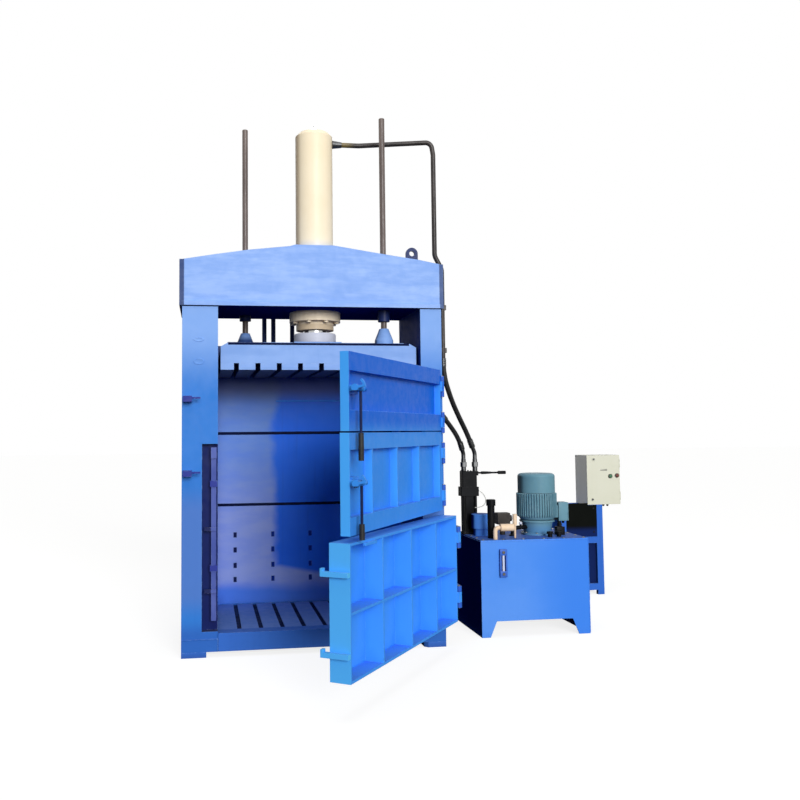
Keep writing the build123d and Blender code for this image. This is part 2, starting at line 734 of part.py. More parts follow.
for name, grip in (("top_lever_grip", top_grip), ("middle_lever_grip", middle_grip)):
    with BuildPart(top_plane) as lever_grip:
        post(lever_u, lever_out, grip, grip_radius)
        post(lever_u, lever_out, (grip[0] + 10, grip[1]), lever_rod, mode=Mode.SUBTRACT)
    lever_grip.part.label = name
    export_step(lever_grip.part, f"parts/{name}.step")

# Keepers on the left column: a block with a tongue that each claw turns in behind
keeper_x = (x_left + 8, x_left + 67)
tongue_end = upper_hinge[0] - claw_u[0] - 1
spindle_closed_y = upper_hinge[1] - lever_out
# Lock bar with its teeth and handle, sliding in two guides
tooth_clearance = 5
tooth_lift = lug_thickness / 2 + tooth_clearance + bar_drop
tooth_height = 24
bar_head = 74
with BuildPart() as lock_bar:
    slab((bar_left, bar_right), (bar_front, bar_back), (bar_bottom, bar_top - bar_head))
    for z in lug_heights:
        slab((bar_left - 45, bar_left), (bar_front - 15, bar_front - 2), (z + tooth_lift, z + tooth_lift + tooth_height))
        slab((bar_left - 13, bar_right), (bar_front - 15, bar_front), (z + tooth_lift, z + tooth_lift + tooth_height))
    slab((bar_left - 2, bar_right + 2), (bar_front - 14, bar_back), (bar_top - bar_head, bar_top))
lock_bar.part.label = "lock_bar"
export_step(lock_bar.part, "parts/lock_bar.step")

recess_back = y_front + recess_depth
with BuildPart() as latch_keepers:
    for z in ((560, 600), (1120, 1160)):
        slab((bar_left - 8, bar_right + 8), (bar_front - 8, recess_back), z)
        slab((bar_left - bar_clearance, bar_right + bar_clearance),
             (bar_front - bar_clearance, bar_back + bar_clearance), z, mode=Mode.SUBTRACT)
    for z in (latch_top_z, latch_middle_z):
        slab(keeper_x, (spindle_closed_y + 22, y_front), (z - 20, z + 20))
        slab((keeper_x[1], tongue_end), (spindle_closed_y + 26, spindle_closed_y + 40), (z, z + 12))
latch_keepers.part.label = "latch_keepers"
export_step(latch_keepers.part, "parts/latch_keepers.step")

# Cap end pipe over the crosshead and down outside the right column, and the rod end pipe inside it
cap_port_end = ram_x + barrel_radius + 69.5
cap_points = [(cap_port_end, pipe_y, cap_port_z), (cap_port_end + 130, pipe_y, cap_port_z),
              (x_right + 35, pipe_y, cap_port_z + 50), (x_right + 50, pipe_y, cap_port_z - 45),
              (x_right + 50, pipe_y, column_top + 445), (drop_x, pipe_y, column_top + 345),
              (drop_x, pipe_y, pipe_end)]
rod_points = [(ram_x + barrel_radius, pipe_y, rod_port_z), (ram_x + barrel_radius + 90, pipe_y, rod_port_z),
              (ram_x + 355.5, rod_pipe_y, rod_port_z), (rod_pipe_x, rod_pipe_y, rod_port_z),
              (rod_pipe_x, rod_pipe_y, rod_pipe_z), (x_right, rod_pipe_y, rod_pipe_z)]
clamp_half = 26
clamp_width = 30
clamp_height = 36
with BuildPart() as oil_pipes:
    for z, start in ((pipe_end + 60, x_right), (column_top + 55, x_right + head_plate)):
        slab((start, drop_x + clamp_half), (pipe_y - clamp_width / 2, pipe_y + clamp_width / 2),
             (z - clamp_height / 2, z + clamp_height / 2))
    with BuildLine() as cap_route:
        FilletPolyline(*cap_points, radius=[min(90, r) for r in bend_radii(cap_points)])
    with BuildSketch(Plane(origin=cap_points[0], z_dir=(1, 0, 0))) as cap_section:
        Circle(pipe_radius)
    sweep(path=cap_route.wires()[0])
    with BuildLine() as rod_route:
        FilletPolyline(*rod_points, radius=[min(40, r) for r in bend_radii(rod_points)])
    with BuildSketch(Plane(origin=rod_points[0], z_dir=(1, 0, 0))) as rod_section:
        Circle(rod_pipe_radius)
    sweep(path=rod_route.wires()[0])
oil_pipes.part.label = "oil_pipes"
export_step(oil_pipes.part, "parts/oil_pipes.step")

# Pipe and hose fittings; short bent steel tails set each hose's end direction
tail_radius = 16
inner_start_dir = Vector(0.658, 0.376, -0.652).normalized()
outer_end_dir = Vector(-0.4, -0.2, 0.894).normalized()
inner_end_dir = Vector(-0.336, -0.276, 0.9).normalized()
bulkhead_end = x_right + 45
knee = Vector(bulkhead_end + 40, rod_pipe_y, rod_pipe_z)
inner_start = knee + inner_start_dir * 60
outer_knee = Vector(*outer_port, port_top + 45)
outer_end = outer_knee + outer_end_dir * 50
inner_knee = Vector(*inner_port, port_top + 40)
inner_end = inner_knee + inner_end_dir * 35
tails = [[Vector(bulkhead_end, rod_pipe_y, rod_pipe_z), knee, inner_start],
         [Vector(*outer_port, port_top), outer_knee, outer_end],
         [Vector(*inner_port, port_top), inner_knee, inner_end]]
with BuildPart() as hose_fittings:
    with Locations(Plane(origin=(ram_x + barrel_radius, pipe_y, cap_port_z), z_dir=(1, 0, 0))):
        Cone(30, 21, cap_port_end - ram_x - barrel_radius,
             align=(Align.CENTER, Align.CENTER, Align.MIN))
    for first, middle, last in tails:
        with BuildLine() as tail_route:
            FilletPolyline(first, middle, last, radius=[min(60, r) for r in bend_radii([first, middle, last])])
        with BuildSketch(Plane(origin=first, z_dir=middle - first)) as tail_section:
            Circle(tail_radius)
        sweep(path=tail_route.wires()[0])
    rod_x(rod_pipe_y, rod_pipe_z, (x_right, bulkhead_end), 22)
    for x, y in (outer_port, inner_port):
        post(x, y, (valve_top, valve_top + 34), 19)
        with BuildSketch(Plane.XY.offset(valve_top + 34)) as union_nut:
            with Locations((x, y)):
                RegularPolygon(22, 6, major_radius=False)
        extrude(amount=36)
        post(x, y, (valve_top + 70, port_top), 18)
hose_fittings.part.label = "hose_fittings"
export_step(hose_fittings.part, "parts/hose_fittings.step")

# Hoses: straight runs joined by tangent arcs
outer_points = [Vector(drop_x, pipe_y, pipe_end), Vector(drop_x, pipe_y, pipe_end - 120), Vector(1080, -128, 1715),
                Vector(1170, -30, 1580), outer_end + outer_end_dir * 110, outer_end]
inner_points = [inner_start, inner_start + inner_start_dir * 110, inner_end + inner_end_dir * 90, inner_end]
for hose_name, points in (("outer_hose", outer_points), ("inner_hose", inner_points)):
    print(hose_name, [tuple(round(c, 2) for c in tuple(p)) for p in points])
    print(hose_name, "bend radii", [round(r) for r in bend_radii(points)])

with BuildPart() as outer_hose:
    with BuildLine() as outer_route:
        FilletPolyline(*outer_points, radius=bend_radii(outer_points))
    with BuildSketch(Plane(origin=outer_points[0], z_dir=(0, 0, -1))) as outer_section:
        Circle(outer_hose_diameter / 2)
    sweep()
outer_hose.part.label = "outer_hose"
export_step(outer_hose.part, "parts/outer_hose.step")

with BuildPart() as inner_hose:
    with BuildLine() as inner_route:
        FilletPolyline(*inner_points, radius=bend_radii(inner_points))
    with BuildSketch(Plane(origin=inner_points[0], z_dir=inner_start_dir)) as inner_section:
        Circle(inner_hose_diameter / 2)
    sweep()
inner_hose.part.label = "inner_hose"
export_step(inner_hose.part, "parts/inner_hose.step")

for hose, route, diameter in ((outer_hose, outer_route, outer_hose_diameter),
                              (inner_hose, inner_route, inner_hose_diameter)):
    length = sum(edge.length for edge in route.edges())
    print("hose length", round(length, 1), "volume", round(hose.part.volume),
          "section x length", round(length * pi * diameter * diameter / 4))

# Oil tank with skirt legs, and its lid
leg_top = 113
leg_floor_left = tank_left + 63
leg_floor_right = tank_right - 86
leg_top_left = tank_left + 111
leg_top_right = tank_right - 133
with BuildPart() as oil_tank:
    slab((tank_left, tank_right), (tank_front, tank_back), (0, tank_top - tank_lid))
    slab((tank_left + tank_sheet, tank_right - tank_sheet), (tank_front + tank_sheet, tank_back - tank_sheet),
         (tank_floor, tank_top - tank_lid), mode=Mode.SUBTRACT)
    slab((tank_left + tank_sheet, tank_right - tank_sheet), (tank_front + tank_sheet, tank_back - tank_sheet),
         (0, tank_floor - tank_sheet), mode=Mode.SUBTRACT)
    with BuildSketch(Plane.XZ.offset(-tank_back - 10)) as skirt_cut:
        with BuildLine():
            Polyline((leg_floor_left, -5), (leg_floor_left, 0), (leg_top_left, leg_top),
                     (leg_top_right, leg_top), (leg_floor_right, 0), (leg_floor_right, -5), close=True)
        make_face()
    extrude(amount=tank_back - tank_front + 20, mode=Mode.SUBTRACT)
oil_tank.part.label = "oil_tank"
export_step(oil_tank.part, "parts/oil_tank.step")

pump_hole = 60
with BuildPart() as tank_lid_plate:
    slab((tank_left, tank_right), (tank_front, tank_back), (tank_top - tank_lid, tank_top))
    post(motor_x, motor_y, (tank_top - tank_lid, tank_top), pump_hole, mode=Mode.SUBTRACT)
tank_lid_plate.part.label = "tank_lid_plate"
export_step(tank_lid_plate.part, "parts/tank_lid_plate.step")

gauge_depth = 24
gauge_x = (tank_left + 136, tank_left + 192)
gauge_z = (tank_top - 264, tank_top - 63)
with BuildPart() as level_gauge:
    slab(gauge_x, (tank_front - gauge_depth, tank_front), gauge_z)
    fillet(level_gauge.edges().filter_by(Axis.Y), 14)
level_gauge.part.label = "level_gauge"
export_step(level_gauge.part, "parts/level_gauge.step")

# Motor, bell housing and the pump hanging under the lid
bell_top = tank_top + 110
frame_bottom = bell_top + 80
body_top = bell_top + 208
cowl_top = body_top + 145
cowl_radius = 140
core_radius = 95
with BuildPart() as bellhousing:
    post(motor_x, motor_y, (tank_top, tank_top + 15), 120)
    taper(motor_x, motor_y, (tank_top + 15, bell_top - 12), 100, 118)
    post(motor_x, motor_y, (bell_top - 12, bell_top), 132)
    post(motor_x, motor_y, (tank_top, bell_top), 70, mode=Mode.SUBTRACT)
bellhousing.part.label = "bellhousing"
export_step(bellhousing.part, "parts/bellhousing.step")

fin_count = 36
fin_thickness = 3
shield = 20
with BuildPart() as motor_body:
    taper(motor_x, motor_y, (bell_top, frame_bottom), 126, 136)
    post(motor_x, motor_y, (frame_bottom, body_top), 136)
    with BuildSketch(Plane.XY.offset(frame_bottom)) as fin_ring:
        with Locations((motor_x, motor_y)):
            with PolarLocations(143, fin_count):
                Rectangle(2 * (motor_radius - 143), fin_thickness)
    extrude(amount=body_top - frame_bottom - 4)
    post(motor_x, motor_y, (bell_top + shield, body_top - shield), core_radius, mode=Mode.SUBTRACT)
    post(motor_x, motor_y, (bell_top, body_top), shaft_radius + shaft_clearance, mode=Mode.SUBTRACT)
    slab((motor_x + 120, motor_x + 156), (motor_y - 40, motor_y + 10), (bell_top + 15, bell_top + 110))
    slab((motor_x + 156, motor_x + 235), (motor_y - 50, motor_y + 50), (bell_top - 10, bell_top + 130))
motor_body.part.label = "motor_body"
export_step(motor_body.part, "parts/motor_body.step")

with BuildPart() as motor_cowl:
    post(motor_x, motor_y, (body_top, cowl_top), cowl_radius)
    fillet(motor_cowl.faces().sort_by(Axis.Z)[-1].edges(), 25)
    post(motor_x, motor_y, (body_top, cowl_top - 16), cowl_radius - 6, mode=Mode.SUBTRACT)
    with BuildSketch(Plane.XY.offset(cowl_top)) as cowl_vents:
        with Locations((motor_x, motor_y)):
            for vent_radius in (45, 70, 95):
                with PolarLocations(vent_radius, 12):
                    SlotOverall(18, 7, rotation=90)
    extrude(amount=-20, mode=Mode.SUBTRACT)
motor_cowl.part.label = "motor_cowl"
export_step(motor_cowl.part, "parts/motor_cowl.step")

rotor_gap = 6
pump_bottom = tank_top - 150
strainer_top = pump_bottom - 150
strainer_bottom = strainer_top - 160
with BuildPart() as motor_rotor:
    post(motor_x, motor_y, (bell_top - 65, cowl_top - 33), shaft_radius)
    post(motor_x, motor_y, (bell_top - 80, bell_top - 20), 45)
    post(motor_x, motor_y, (bell_top + shield + 15, body_top - shield - 15), core_radius - rotor_gap)
    post(motor_x, motor_y, (body_top + 30, body_top + 100), 40)
    with BuildSketch(Plane.XY.offset(body_top + 30)) as blades:
        with Locations((motor_x, motor_y)):
            with PolarLocations(75, 8):
                Rectangle(90, 6)
    extrude(amount=60)
motor_rotor.part.label = "motor_rotor"
export_step(motor_rotor.part, "parts/motor_rotor.step")

with BuildPart() as oil_pump:
    post(motor_x, motor_y, (tank_top - tank_lid - 4, tank_top + 22), pump_hole - 2)
    slab((motor_x - 55, motor_x + 55), (motor_y - 65, motor_y + 65), (pump_bottom, tank_top - tank_lid))
    post(motor_x, motor_y, (strainer_top, pump_bottom), 20)
    post(motor_x, motor_y, (strainer_bottom, strainer_top), 50)
oil_pump.part.label = "oil_pump"
export_step(oil_pump.part, "parts/oil_pump.step")

# Valve stand with its pipes, valve body and lever
valve_half = 70.5
with BuildPart() as valve_stand:
    slab((valve_x - 55, valve_x + 55), (valve_y - 45, valve_y + 45), (tank_top, tank_top + 12))
    slab((valve_x - 30, valve_x + 30), (valve_y - 30, valve_y + 30), (tank_top + 12, valve_bottom))
    post(valve_x - 50, valve_y, (tank_top, valve_bottom), 11)
    post(valve_x + 52, valve_y, (tank_top, valve_bottom), 14)
valve_stand.part.label = "valve_stand"
export_step(valve_stand.part, "parts/valve_stand.step")

pivot_x = valve_x + valve_half - 12
pivot_z = valve_top - 14
slot_half = 9
with BuildPart() as valve_body:
    slab((valve_x - valve_half, valve_x + valve_half), (valve_y - 45, valve_y + 45),
         (valve_bottom, valve_bottom + 70))
    slab((valve_x - 58, valve_x + 58), (valve_y - 40, valve_y + 40), (valve_bottom + 70, valve_top))
    fillet(valve_body.edges().filter_by(Axis.Z), 6)
    slab((valve_x + 58, valve_x + valve_half + 6), (valve_y - 16, valve_y + 16), (valve_top - 34, valve_top))
    slab((pivot_x - 14, valve_x + valve_half + 6), (valve_y - slot_half, valve_y + slot_half),
         (valve_top - 34, valve_top), mode=Mode.SUBTRACT)
    rod_y(pivot_x, pivot_z, (valve_y - 20, valve_y + 20), 5, mode=Mode.SUBTRACT)
valve_body.part.label = "valve_body"
export_step(valve_body.part, "parts/valve_body.step")

lever_end = pivot_x + 242
pivot_radius = 4.95
with BuildPart() as valve_lever:
    rod_y(pivot_x, pivot_z, (valve_y - 18, valve_y + 18), pivot_radius)
    rod_y(pivot_x, pivot_z, (valve_y - slot_half + 1, valve_y + slot_half - 1), 10)
    rod_x(valve_y, pivot_z, (pivot_x + 6, lever_end - 60), 7)
    rod_x(valve_y, pivot_z, (lever_end - 60, lever_end), 13)
valve_lever.part.label = "valve_lever"
export_step(valve_lever.part, "parts/valve_lever.step")

# Items on the tank lid
breather = (tank_left + 123.5, tank_front + 125)
breather_neck = tank_top + 239
cap_y = tank_front + 110
cap_seat = tank_top + 22
with BuildPart() as lid_caps:
    post(*breather, (tank_top, breather_neck), 26.5)
    post(*breather, (breather_neck, breather_neck + 46), 34)
    fillet(lid_caps.faces().sort_by(Axis.Z)[-1].edges(), 6)
    for x in (motor_x + 21, motor_x + 91):
        post(x, cap_y, (tank_top, cap_seat), 17)
        post(x, cap_y, (cap_seat, cap_seat + 18), 23)
lid_caps.part.label = "lid_caps"
export_step(lid_caps.part, "parts/lid_caps.step")

filter_spot = (tank_left + 106, -20)
filter_neck = tank_top + 55
with BuildPart() as return_filter:
    post(*filter_spot, (tank_top, filter_neck), 55)
    post(*filter_spot, (filter_neck, filter_neck + 109), 70)
    fillet(return_filter.faces().sort_by(Axis.Z)[-1].edges(), 10)
return_filter.part.label = "return_filter"
export_step(return_filter.part, "parts/return_filter.step")

return_x = tank_left + 128
return_y = tank_front + 50
return_z = tank_top + 84
return_end = return_x + 138
with BuildPart() as return_pipe:
    with BuildLine() as return_route:
        FilletPolyline((return_x, return_y, tank_top), (return_x, return_y, return_z),
                       (return_end, return_y, return_z), radius=26)
    with BuildSketch(Plane(origin=(return_x, return_y, tank_top), z_dir=(0, 0, 1))) as return_section:
        Circle(16)
    sweep()
    rod_x(return_y, return_z, (return_x + 38, return_end), 27)
return_pipe.part.label = "return_pipe"
export_step(return_pipe.part, "parts/return_pipe.step")

relief_x = tank_left + 280
relief_y = -10
relief_z = (tank_top + 80, tank_top + 166)
with BuildPart() as relief_valve:
    post(relief_x, relief_y, (tank_top, relief_z[0]), 20)
    slab((relief_x - 47, relief_x + 50), (relief_y - 40, relief_y + 40), relief_z)
    rod_x(relief_y, (relief_z[0] + relief_z[1]) / 2, (relief_x + 50, relief_x + 72), 24)
relief_valve.part.label = "relief_valve"
export_step(relief_valve.part, "parts/relief_valve.step")

riser_x = tank_left + 300
riser_neck = tank_top + 94
with BuildPart() as gauge_riser:
    post(riser_x, cap_y, (tank_top, riser_neck), 8)
    post(riser_x, cap_y, (riser_neck, riser_neck + 81), 16)
gauge_riser.part.label = "gauge_riser"
export_step(gauge_riser.part, "parts/gauge_riser.step")

# Control stand: posts, ties and panels
post_width = 60
post_depth = 40
low_rail = (41, 99)
middle_rail = (460, 519)
with BuildPart() as control_stand:
    for x in ((stand_left, stand_left + post_width), (stand_right - post_width, stand_right)):
        for y in ((stand_front, stand_front + post_depth), (stand_back - post_depth, stand_back)):
            slab(x, y, (0, box_bottom))
    for z in (low_rail, middle_rail, (box_bottom - 40, box_bottom)):
        slab((stand_left, stand_right), (stand_front, stand_front + post_depth), z)
        slab((stand_left, stand_right), (stand_back - post_depth, stand_back), z)
        slab((stand_left, stand_left + post_width), (stand_front, stand_back), z)
        slab((stand_right - post_width, stand_right), (stand_front, stand_back), z)
control_stand.part.label = "control_stand"
export_step(control_stand.part, "parts/control_stand.step")

panel_left = stand_left + 50
with BuildPart() as stand_panels:
    slab((panel_left, stand_right - 58), (stand_front - 4, stand_front), (middle_rail[1], box_bottom - 2))
    slab((panel_left, box_left - 2), (stand_front - 4, stand_front), (box_bottom - 2, box_bottom + 15))
    slab((stand_left + post_width, stand_right - post_width), (stand_front + 24, stand_front + 28),
         (low_rail[1], middle_rail[0]))
stand_panels.part.label = "stand_panels"
export_step(stand_panels.part, "parts/stand_panels.step")

# Control box with its door, locks, buttons and the gear inside
box_front = stand_front
hinge_margin = 14
box_hinge = (box_right - hinge_margin / 2, box_front + 8)
box_hinge_levels = (box_bottom + 75, box_top - 75)
box_knuckle = 6
box_knuckle_height = 30
fixed_knuckle = 20
box_pin = 2.5
box_flange = 20
with BuildPart() as control_box:
    slab((box_left, box_right), (box_front + box_door, stand_back), (box_bottom, box_top))
    slab((box_left + box_sheet, box_right - box_sheet), (box_front + box_door, stand_back - box_sheet),
         (box_bottom + box_sheet, box_top - box_sheet), mode=Mode.SUBTRACT)
    slab((box_right - box_flange, box_right), (box_front + box_door, box_front + box_door + box_sheet),
         (box_bottom, box_top))
    for z in box_hinge_levels:
        reach = box_knuckle_height / 2 + 1
        for low in (z - reach - fixed_knuckle, z + reach):
            post(*box_hinge, (low, low + fixed_knuckle), box_knuckle)
            slab((box_hinge[0] - box_knuckle + 1, box_right), (box_hinge[1], box_front + box_door),
                 (low, low + fixed_knuckle))
        post(*box_hinge, (z - reach - fixed_knuckle, z + reach + fixed_knuckle), box_pin)
control_box.part.label = "control_box"
export_step(control_box.part, "parts/control_box.step")

with BuildPart() as control_gear:
    slab((box_left + 20, box_right - 20), (stand_back - 12, stand_back - box_sheet),
         (box_bottom + 20, box_top - 20))
    for z in (box_bottom + 110, box_bottom + 250):
        slab((box_left + 50, box_right - 50), (stand_back - 92, stand_back - 12), (z, z + 90))
control_gear.part.label = "control_gear"
export_step(control_gear.part, "parts/control_gear.step")

lock_spots = ((box_left + 66, box_top - 35), (box_left + 48, box_bottom + 47))
button_spots = ((box_left + 223, box_bottom + 256), (box_left + 288, box_bottom + 261))
lock_radius = 9
button_radius = 14
turn_clearance = 0.08
door_right = box_right - hinge_margin
door_rim = 15
with BuildPart() as box_door_leaf:
    slab((box_left, door_right), (box_front, box_front + box_door - 1), (box_bottom, box_top))
    slab((box_left + door_rim, door_right - door_rim), (box_front + box_sheet, box_front + box_door - 1),
         (box_bottom + door_rim, box_top - door_rim), mode=Mode.SUBTRACT)
    for z in box_hinge_levels:
        level = (z - box_knuckle_height / 2, z + box_knuckle_height / 2)
        slab((door_right - box_knuckle, box_hinge[0]), (box_hinge[1] - box_knuckle, box_hinge[1] + box_knuckle),
             level)
        post(*box_hinge, level, box_knuckle)
        post(*box_hinge, level, box_pin + turn_clearance, mode=Mode.SUBTRACT)
    for x, z in lock_spots:
        rod_y(x, z, (box_front - 3, box_front + 15), 15)
        rod_y(x, z, (box_front - 3, box_front + 15), lock_radius + turn_clearance, mode=Mode.SUBTRACT)
    for x, z in button_spots:
        rod_y(x, z, (box_front - 6, box_front + 15), 19)
        rod_y(x, z, (box_front - 6, box_front + 15), button_radius + turn_clearance, mode=Mode.SUBTRACT)
box_door_leaf.part.label = "box_door_leaf"
export_step(box_door_leaf.part, "parts/box_door_leaf.step")

for name, spot in (("upper_lock", lock_spots[0]), ("lower_lock", lock_spots[1])):
    with BuildPart() as door_lock:
        rod_y(*spot, (box_front - 8, box_front + 16), lock_radius)
        slab((spot[0] - 3, spot[0] + 3), (box_front - 12, box_front - 8), (spot[1] - 8, spot[1] + 8))
    door_lock.part.label = name
    export_step(door_lock.part, f"parts/{name}.step")

button_out = 16
button_travel = 5
for name, spot in (("start_button", button_spots[0]), ("stop_button", button_spots[1])):
    with BuildPart() as push_button:
        rod_y(*spot, (box_front - button_out, box_front + 10), button_radius)
        fillet(push_button.faces().sort_by(Axis.Y)[0].edges(), 3)
    push_button.part.label = name
    export_step(push_button.part, f"parts/{name}.step")
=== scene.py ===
import math

import bmesh
import bpy
from mathutils import Matrix, Vector


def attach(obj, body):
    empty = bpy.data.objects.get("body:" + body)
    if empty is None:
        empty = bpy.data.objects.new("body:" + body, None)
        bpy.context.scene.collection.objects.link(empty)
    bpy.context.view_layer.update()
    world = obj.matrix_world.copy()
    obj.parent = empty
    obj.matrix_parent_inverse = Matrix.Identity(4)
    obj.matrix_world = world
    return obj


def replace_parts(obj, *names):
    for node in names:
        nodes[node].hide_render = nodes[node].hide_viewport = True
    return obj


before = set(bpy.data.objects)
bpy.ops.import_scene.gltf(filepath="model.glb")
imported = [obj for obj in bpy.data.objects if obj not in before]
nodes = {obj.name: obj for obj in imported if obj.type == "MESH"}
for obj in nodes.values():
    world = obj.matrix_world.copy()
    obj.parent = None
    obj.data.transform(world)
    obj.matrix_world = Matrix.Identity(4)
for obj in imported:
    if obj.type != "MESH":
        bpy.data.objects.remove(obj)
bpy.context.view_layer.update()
collection = bpy.context.scene.collection
print("frame loaded with", len(nodes), "nodes")


# Camera: stands left of the press at eye height and looks a little to the right
cameraView = {
    "place": (-0.75, -6.4508, 1.4773),
    "yaw": 0.1519,
    "pitch": 0.0653,
    "roll": -0.0082,
    "lens": 39.158,
    "sensor": 36,
    "shift": (0.0782, -0.0305),
    "reach": 200,
}


def makeCamera(view):
    yaw, pitch, roll = view["yaw"], view["pitch"], view["roll"]
    ahead = Vector((math.sin(yaw) * math.cos(pitch), math.cos(yaw) * math.cos(pitch), math.sin(pitch)))
    level = Vector((math.cos(yaw), -math.sin(yaw), 0))
    up = level.cross(ahead)
    side = level * math.cos(roll) + up * math.sin(roll)
    top = up * math.cos(roll) - level * math.sin(roll)
    data = bpy.data.cameras.new("viewpoint")
    data.lens = view["lens"]
    data.sensor_width = view["sensor"]
    data.shift_x, data.shift_y = view["shift"]
    data.clip_end = view["reach"]
    camera = bpy.data.objects.new("viewpoint", data)
    turn = Matrix((side, top, -ahead)).transposed().to_4x4()
    camera.matrix_world = Matrix.Translation(view["place"]) @ turn
    collection.objects.link(camera)
    return camera


bpy.context.scene.camera = makeCamera(cameraView)
bpy.context.scene.view_settings.view_transform = "Standard"


# Colours are written as sRGB hex, patterns in millimetres
def linearColour(hexText):
    parts = [int(hexText[k:k + 2], 16) / 255 for k in (0, 2, 4)]
    return [c / 12.92 if c <= 0.04045 else ((c + 0.055) / 1.055) ** 2.4 for c in parts] + [1]


# A lower-case key sets an option, any other key an input: a socket is linked to it, a value written into it
def addNode(tree, kind, settings=None):
    made = tree.nodes.new(kind)
    for key, value in (settings or {}).items():
        if isinstance(value, bpy.types.NodeSocket):
            tree.links.new(value, made.inputs[key])
        elif isinstance(key, int) or key[0].isupper():
            made.inputs[key].default_value = value
        else:
            setattr(made, key, value)
    return made.outputs


def startMaterial(name):
    material = bpy.data.materials.new(name)
    material.use_nodes = True
    material.node_tree.nodes.clear()
    return material, material.node_tree


def finishMaterial(tree, settings):
    shader = addNode(tree, "ShaderNodeBsdfPrincipled", settings)
    addNode(tree, "ShaderNodeOutputMaterial", {"Surface": shader[0]})


# Noise whose patches are so many millimetres long along x, y and z
def unevenness(tree, place, lengths, detail=3, roughness=0.55):
    spread = lengths if isinstance(lengths, tuple) else (lengths, lengths, lengths)
    mapped = addNode(tree, "ShaderNodeMapping", {"Scale": tuple(1000 / mm for mm in spread), "Vector": place})
    return addNode(tree, "ShaderNodeTexNoise", {"Scale": 1, "Detail": detail, "Roughness": roughness,
                                                "Vector": mapped[0]})["Fac"]


# How much of a tint shows: each fade is (value, from, to, most) or a share as it is, and their product counts
def shareOf(tree, fades):
    share = None
    for fade in fades:
        if isinstance(fade, tuple):
            value, low, high, *most = fade
            fade = addNode(tree, "ShaderNodeMapRange", {
                "interpolation_type": "SMOOTHSTEP", "Value": value, "From Min": low, "From Max": high,
                "To Max": most[0] if most else 1})[0]
        both = {"operation": "MULTIPLY", 0: share, 1: fade}
        share = fade if share is None else addNode(tree, "ShaderNodeMath", both)[0]
    return share


def tinted(tree, colour, hexText, *fades):
    return addNode(tree, "ShaderNodeMix", {"data_type": "RGBA", 0: shareOf(tree, fades), 6: colour,
                                           7: linearColour(hexText)})[2]


# A normal that rounds the arrises and carries a fine relief
def relief(tree, height, radius, strength, depth):
    rounded = addNode(tree, "ShaderNodeBevel", {"samples": 4, "Radius": radius})
    return addNode(tree, "ShaderNodeBump", {"Strength": strength, "Distance": depth, "Height": height,
                                            "Normal": rounded[0]})[0]


# Sprayed machine enamel over welded plate: satin, a little wavy, faint runs, dust on ledges, grime and
# painted shade in corners, chipped arrises with a painted highlight
enamelLook = {
    "colour": "3D85E6",
    "shade": "2B68C4",            # where the coat is thick or greasy, and painted shade in corners
    "faded": "5C9BF0",            # bleached and chalky patches
    "edge": "9CC0F2",             # rubbed arrises, with a painted highlight
    "dust": "C9CEDA",
    "patch": (520, 520, 520),     # mm, breadth of the uneven coat along x, y and z
    "patchFade": (0.36, 0.66),    # noise values between which the patches fade in
    "mottle": 0.35,
    "streak": 40,                 # mm, width of runs and rain marks
    "runLength": 22,              # times as long as wide
    "runFade": (0.5, 0.8),
    "runs": 0.14,
    "faceFade": (0.8, 0.97),      # cosines between which a face looks that way
    "corner": 0.09,               # m, how far grease, dirt and painted shade reach out of a corner
    "cornerFade": (0.85, 0.35),
    "grimeAndShade": 0.45,
    "speck": 60,                  # mm, breadth of a dusty spot
    "speckFade": (0.3, 0.75),
    "ledgeFade": (0.55, 1),       # how level a face is before dust lies on it
    "dustShare": 0.16,
    "arris": 0.006,               # m, breadth of a rubbed and highlighted edge
    "arrisFade": (0.99, 0.86),
    "chip": 38,                   # mm, length of a chipped stretch
    "chipFade": (0.44, 0.62),
    "wearAndHighlight": 0.4,
    "wave": 170,                  # mm, buckling of rolled plate between welds
    "waveDepth": 0.003,
    "peel": 14,                   # mm, orange peel, drawn coarser than the real 3 mm so that it shows
    "peelDepth": 0.001,
    "rounding": 0.0025,           # m, radius of a painted arris
    "roughness": 0.42,
    "roughBy": (-0.06, 0.16),     # how far the roughness strays from clean to dusty
    "gloss": 0.13,
    "coat": 0.03,
    "dullFaces": False,           # True where the gloss is taken off the faces with painted shade
    "zones": (),                  # (axis, from, to, hex, share): another shade along an axis, in metres
    "faces": (),                  # (facing, hex, share): painted light and shade on the faces that look there
    "pattern": None,
}
facings = {
    "left": (-1, 0, 0),
    "right": (1, 0, 0),
    "up": (0, 0, 1),
    "down": (0, 0, -1),
    "leafEnd": (-0.537, -0.843, 0),     # off the free end of an open leaf
    "barrelLeft": (-1, -0.05, 0),
    "barrelRight": (1, 0.1, 0),
    "motorLeft": (-0.95, 0.1, 0),
    "rodLeft": (-1, -0.2, 0),
}


